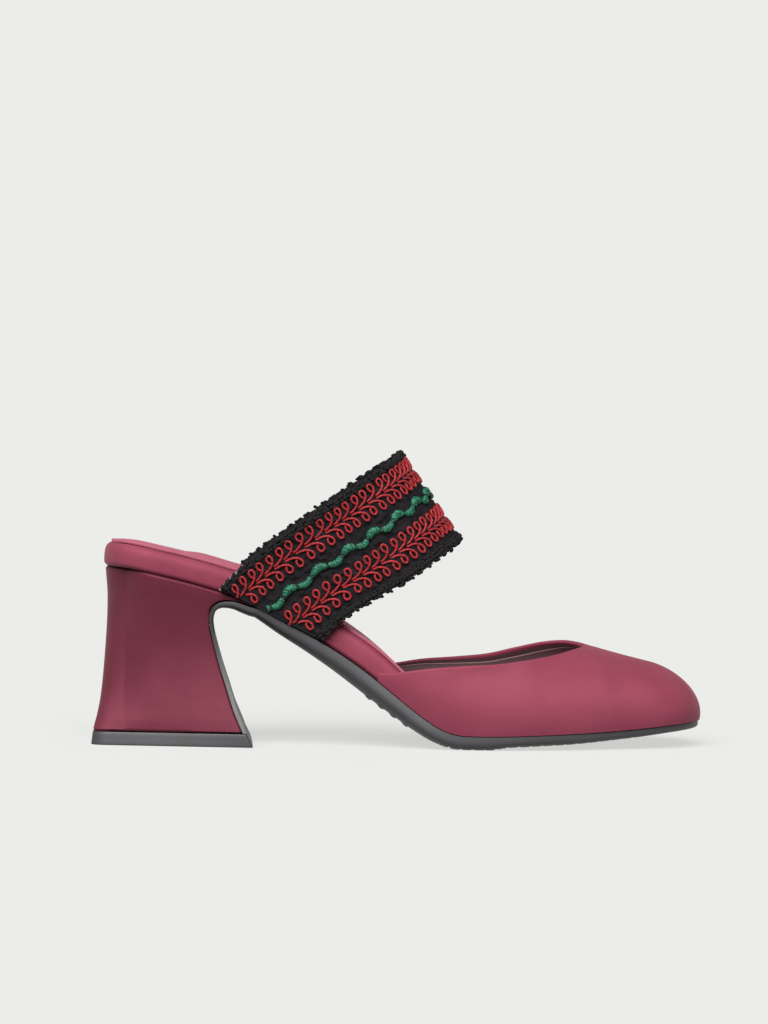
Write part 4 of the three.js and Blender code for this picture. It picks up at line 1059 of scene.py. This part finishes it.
def rayon_cord(colour, shade):
    """Twisted rayon cord: bright filaments that shine along each ply, with painted shade where the plies
    meet.
    """
    return threaded(0.45, 2.0, (0.3, 0.6), (shade, colour), (0.4, 0.12),
                    {"Roughness": 0.5, "IOR": 1.52, "Specular IOR Level": 0.35,
                     "Specular Tint": linear("#FF8C8C")})


red_rayon = finish_of("red_rayon", rayon_cord("#8A272B", "#571719"))


def cut_to(half, path):
    """The part of a cord's path that lies on the strap, or None where too little is left."""
    on_strap = np.flatnonzero(np.abs(path[:, 0]) < half)
    if len(on_strap) < 9 or np.any(np.diff(on_strap) > 1):
        return None
    places = np.linspace(on_strap[0], on_strap[-1], len(path))
    return np.stack([np.interp(places, np.arange(len(path)), path[:, c]) for c in range(3)], -1)


def gimp(stem, first, seed):
    """Both sides of one row of scrolls, with the small unevenness of a machine-made trim. The ends are cut
    off where the strap goes under."""
    random = np.random.default_rng(seed)
    grids = []
    for way in (-1, 1):
        cords = []
        for at in np.arange(first - 2 * gimp_pitch, -first + 3 * gimp_pitch, gimp_pitch):
            shift, grow, stretch, lean = random.uniform((-0.18, 0.93, 0.95, -0.05), (0.18, 1.05, 1.05, 0.05))
            path = np.stack([from_pattern(at + shift + scroll[:, 0] * stretch + lean * scroll[:, 1]),
                             stem + way * scroll[:, 1] * grow,
                             scroll[:, 2] + random.uniform(-0.08, 0.12)], -1)
            path = cut_to(fibre_length(stem + way * 3) - 0.4, path)
            if path is not None:
                cords.append(path)
        s, w, h = np.moveaxis(np.array(cords), -1, 0)
        grids.append(cord_grid(s, w, h, gimp_cord, sides=8, twist=0.13, pitch=1.7))
    return grids


build_piece("rear_gimp", gimp(*gimp_rows[0], 51), red_rayon, sharp=80)
build_piece("front_gimp", gimp(*gimp_rows[1], 52), red_rayon, sharp=80)

# Wave cord: a knitted green chain that swings from side to side along the middle of the strap, caught
# down with black thread at each crossing, where it is pinched.
wave_across = 18.5
wave_pitch = 14.1  # in the pattern
wave_swing = 1.15
wave_phase = 7.2
wave_thin, wave_fat = 0.65, 1.6  # the cord's radius where it is pinched, and in its large lobes
small_lobe = 0.84  # of a large one
wave_lift, wave_flatten = 0.75, 0.72
wave_step, wave_sides = 0.24, 14
knit_depth, knit_pitch = 0.1, 1.15
wave_half = fibre_length(wave_across) - 0.6
couch_reach, couch_rise, couch_radius, couch_steps = 1.45, 1.45, 0.28, 12
couch_apart, couch_slant = 0.42, 0.35


def knitted_cord(colour, shade):
    """Knitted rayon cord: small bright loops, drawn at 0.75 mm, with painted shade in the gaps between them.
    """
    def make(tree):
        place = add_node(tree, "TexCoord").outputs["Object"]
        loops = add_node(tree, "TexVoronoi", {"Scale": 1000 / 0.75}, {"Vector": place}).outputs["Distance"]
        tone = blend_colours(tree, loops, (0.25, 0.75), (colour, shade))
        return add_node(tree, "BsdfPrincipled", {"Roughness": 0.55, "Specular IOR Level": 0.3},
                        {"Base Color": tone, "Normal": relief(tree, loops, 0.6, 0.2, invert=True)})

    return make


green_rayon = finish_of("green_rayon", knitted_cord("#0C6448", "#022A1E"))
wave_s = np.arange(-wave_half, wave_half, wave_step)
wave_turn = 2 * np.pi * (to_pattern(wave_s) - wave_phase) / wave_pitch
pinch = np.abs(np.sin(wave_turn))
lobe = np.where(np.sin(wave_turn) < 0, 1.0, small_lobe)
wave_radius = mix(wave_thin, wave_fat * lobe, pinch ** 0.55)
wave_w = wave_across + wave_swing * np.sin(wave_turn) * (0.6 + 0.4 * pinch)
wave_h = np.full_like(wave_s, ground_top + wave_lift)
wave_grid = cord_grid(wave_s, wave_w, wave_h, wave_radius, sides=wave_sides, flatten=wave_flatten)
wave_centre = wave_grid.mean(axis=-2, keepdims=True)
phi = np.linspace(0, 2 * np.pi, wave_sides + 1)[:-1]
chevron = 0.9 * np.abs(np.sin((phi - np.pi / 2) / 2))
knit = 1 + knit_depth * np.cos(2 * np.pi * (wave_s[:, None] / knit_pitch + chevron))
wave_grid = wave_centre + (wave_grid - wave_centre) * knit[..., None]
build_piece("green_chain", [wave_grid], green_rayon, ["wave_cord"], sharp=80)

couch_at = from_pattern(np.arange(wave_phase - 20 * wave_pitch, 20 * wave_pitch, wave_pitch / 2))
couch_at = couch_at[np.abs(couch_at) < wave_half - 1]
arch = np.linspace(-1, 1, couch_steps)
couch_s = couch_at[:, None, None] + np.array([-couch_apart, couch_apart])[:, None] + couch_slant * arch
couch_s = couch_s.reshape(-1, couch_steps)
couch_w = wave_across + np.broadcast_to(couch_reach * arch, couch_s.shape)
couch_h = ground_top - 0.2 + couch_rise * (1 - np.broadcast_to(arch, couch_s.shape) ** 4)
couch_grid = cord_grid(couch_s, couch_w, couch_h, couch_radius, sides=6, twist=0.1)
build_piece("couching_thread", [couch_grid], frill_cotton, sharp=80)

# Studio: a wide sheet of pale acrylic under the shoe, faintly lit from below so that shadows stay
# light, an even pale wall all round that ends above the picture, and one big soft light high in front.
floor_reach = 30.0
surround = "#ECEDEA"
sheet_points = [(floor_reach * x, floor_reach * y, 0) for x, y in ((-1, -1), (1, -1), (1, 1), (-1, 1))]
sheet_mesh = bpy.data.meshes.new("studio_sheet")
sheet_mesh.from_pydata(sheet_points, [], [(0, 1, 2, 3)])
studio_sheet = in_scene("studio_sheet", sheet_mesh)
light_share = 1.75  # the overhead light on a level surface, in the same measure as the surround
glow = 0.72  # share of the sheet's paleness that comes from below
sky_fill, sky_dim, low_dim = 0.3, 0.28, 0.12  # on a level surface, from over the surround, and under it
light_high, light_turn = math.radians(47), math.radians(-14)  # over the horizon, and past square
light_spread = math.radians(56)


def pale_acrylic(tree):
    """Matt acrylic, which under the lights comes out as pale as the surround."""
    tone = linear(surround, (1 - glow) / (sky_fill + light_share))
    return add_node(tree, "BsdfPrincipled", {"Base Color": tone, "Roughness": 1.0, "Specular IOR Level": 0.0,
                                             "Emission Color": linear(surround), "Emission Strength": glow})


sheet_mesh.materials.append(finish_of("pale_acrylic", pale_acrylic))
studio_sheet.visible_diffuse = False
world = bpy.data.worlds.new("surround")
world.use_nodes = True
air = world.node_tree
aim = add_node(air, "SeparateXYZ", links={"Vector": add_node(air, "TexCoord").outputs["Generated"]})
height = add_node(air, "MapRange", {"From Min": -1.0, "From Max": 1.0}, {"Value": aim.outputs["Z"]})
wall_places = (np.array([-0.1, -0.02, 0.2, 0.34]) + 1) / 2  # as heights between straight down and up
wall_tone = blend_colours(air, height.outputs[0], wall_places, [surround] * 4, (low_dim, 1.0, 1.0, sky_dim))
air.links.new(wall_tone, air.nodes["Background"].inputs["Color"])
bpy.context.scene.world = world


def facing(turn, high):
    """A direction by its turn from square to the shoe's outer side and its height over the horizon."""
    level = math.cos(high)
    return Vector((math.sin(turn) * level, -math.cos(turn) * level, math.sin(high)))


overhead = bpy.data.lights.new("overhead", "SUN")
overhead.energy = light_share * math.pi / math.sin(light_high)
overhead.angle = light_spread
overhead_lamp = in_scene("overhead", overhead)
overhead_lamp.rotation_euler = facing(light_turn, light_high).to_track_quat("Z", "Y").to_euler()

# Camera: level with the strap, turned 3 degrees from square to the shoe and rolled a little, with the
# photograph's long lens.
picture_height, focal_length, centre_drop = 1024, 3466, 40  # in the picture's own pixels
sensor_height = 36
stand_off, level_x, level_z = 1333, 107.7, 104  # millimetres from the shoe's axis, along it, and up
yaw, roll, pitch = math.radians(3.0), math.radians(0.7), math.atan(centre_drop / focal_length)
camera_data = bpy.data.cameras.new("camera")
camera_data.sensor_width = sensor_height
camera_data.lens = focal_length * sensor_height / picture_height
camera_data.clip_end = 100
camera = in_scene("camera", camera_data)
back = facing(-yaw, pitch)
level_right = Vector((0, 0, 1)).cross(back).normalized()
level_up = back.cross(level_right)
right = level_right * math.cos(roll) + level_up * math.sin(roll)
upward = level_up * math.cos(roll) - level_right * math.sin(roll)
camera_place = np.array([level_x - stand_off * math.sin(yaw), -stand_off * math.cos(yaw), level_z])
turned = Matrix((right, upward, back)).transposed().to_4x4()
camera.matrix_world = Matrix.Translation(Vector((camera_place + seat_end) / 1000)) @ turned
bpy.context.scene.camera = camera
bpy.context.scene.view_settings.view_transform = "Standard"
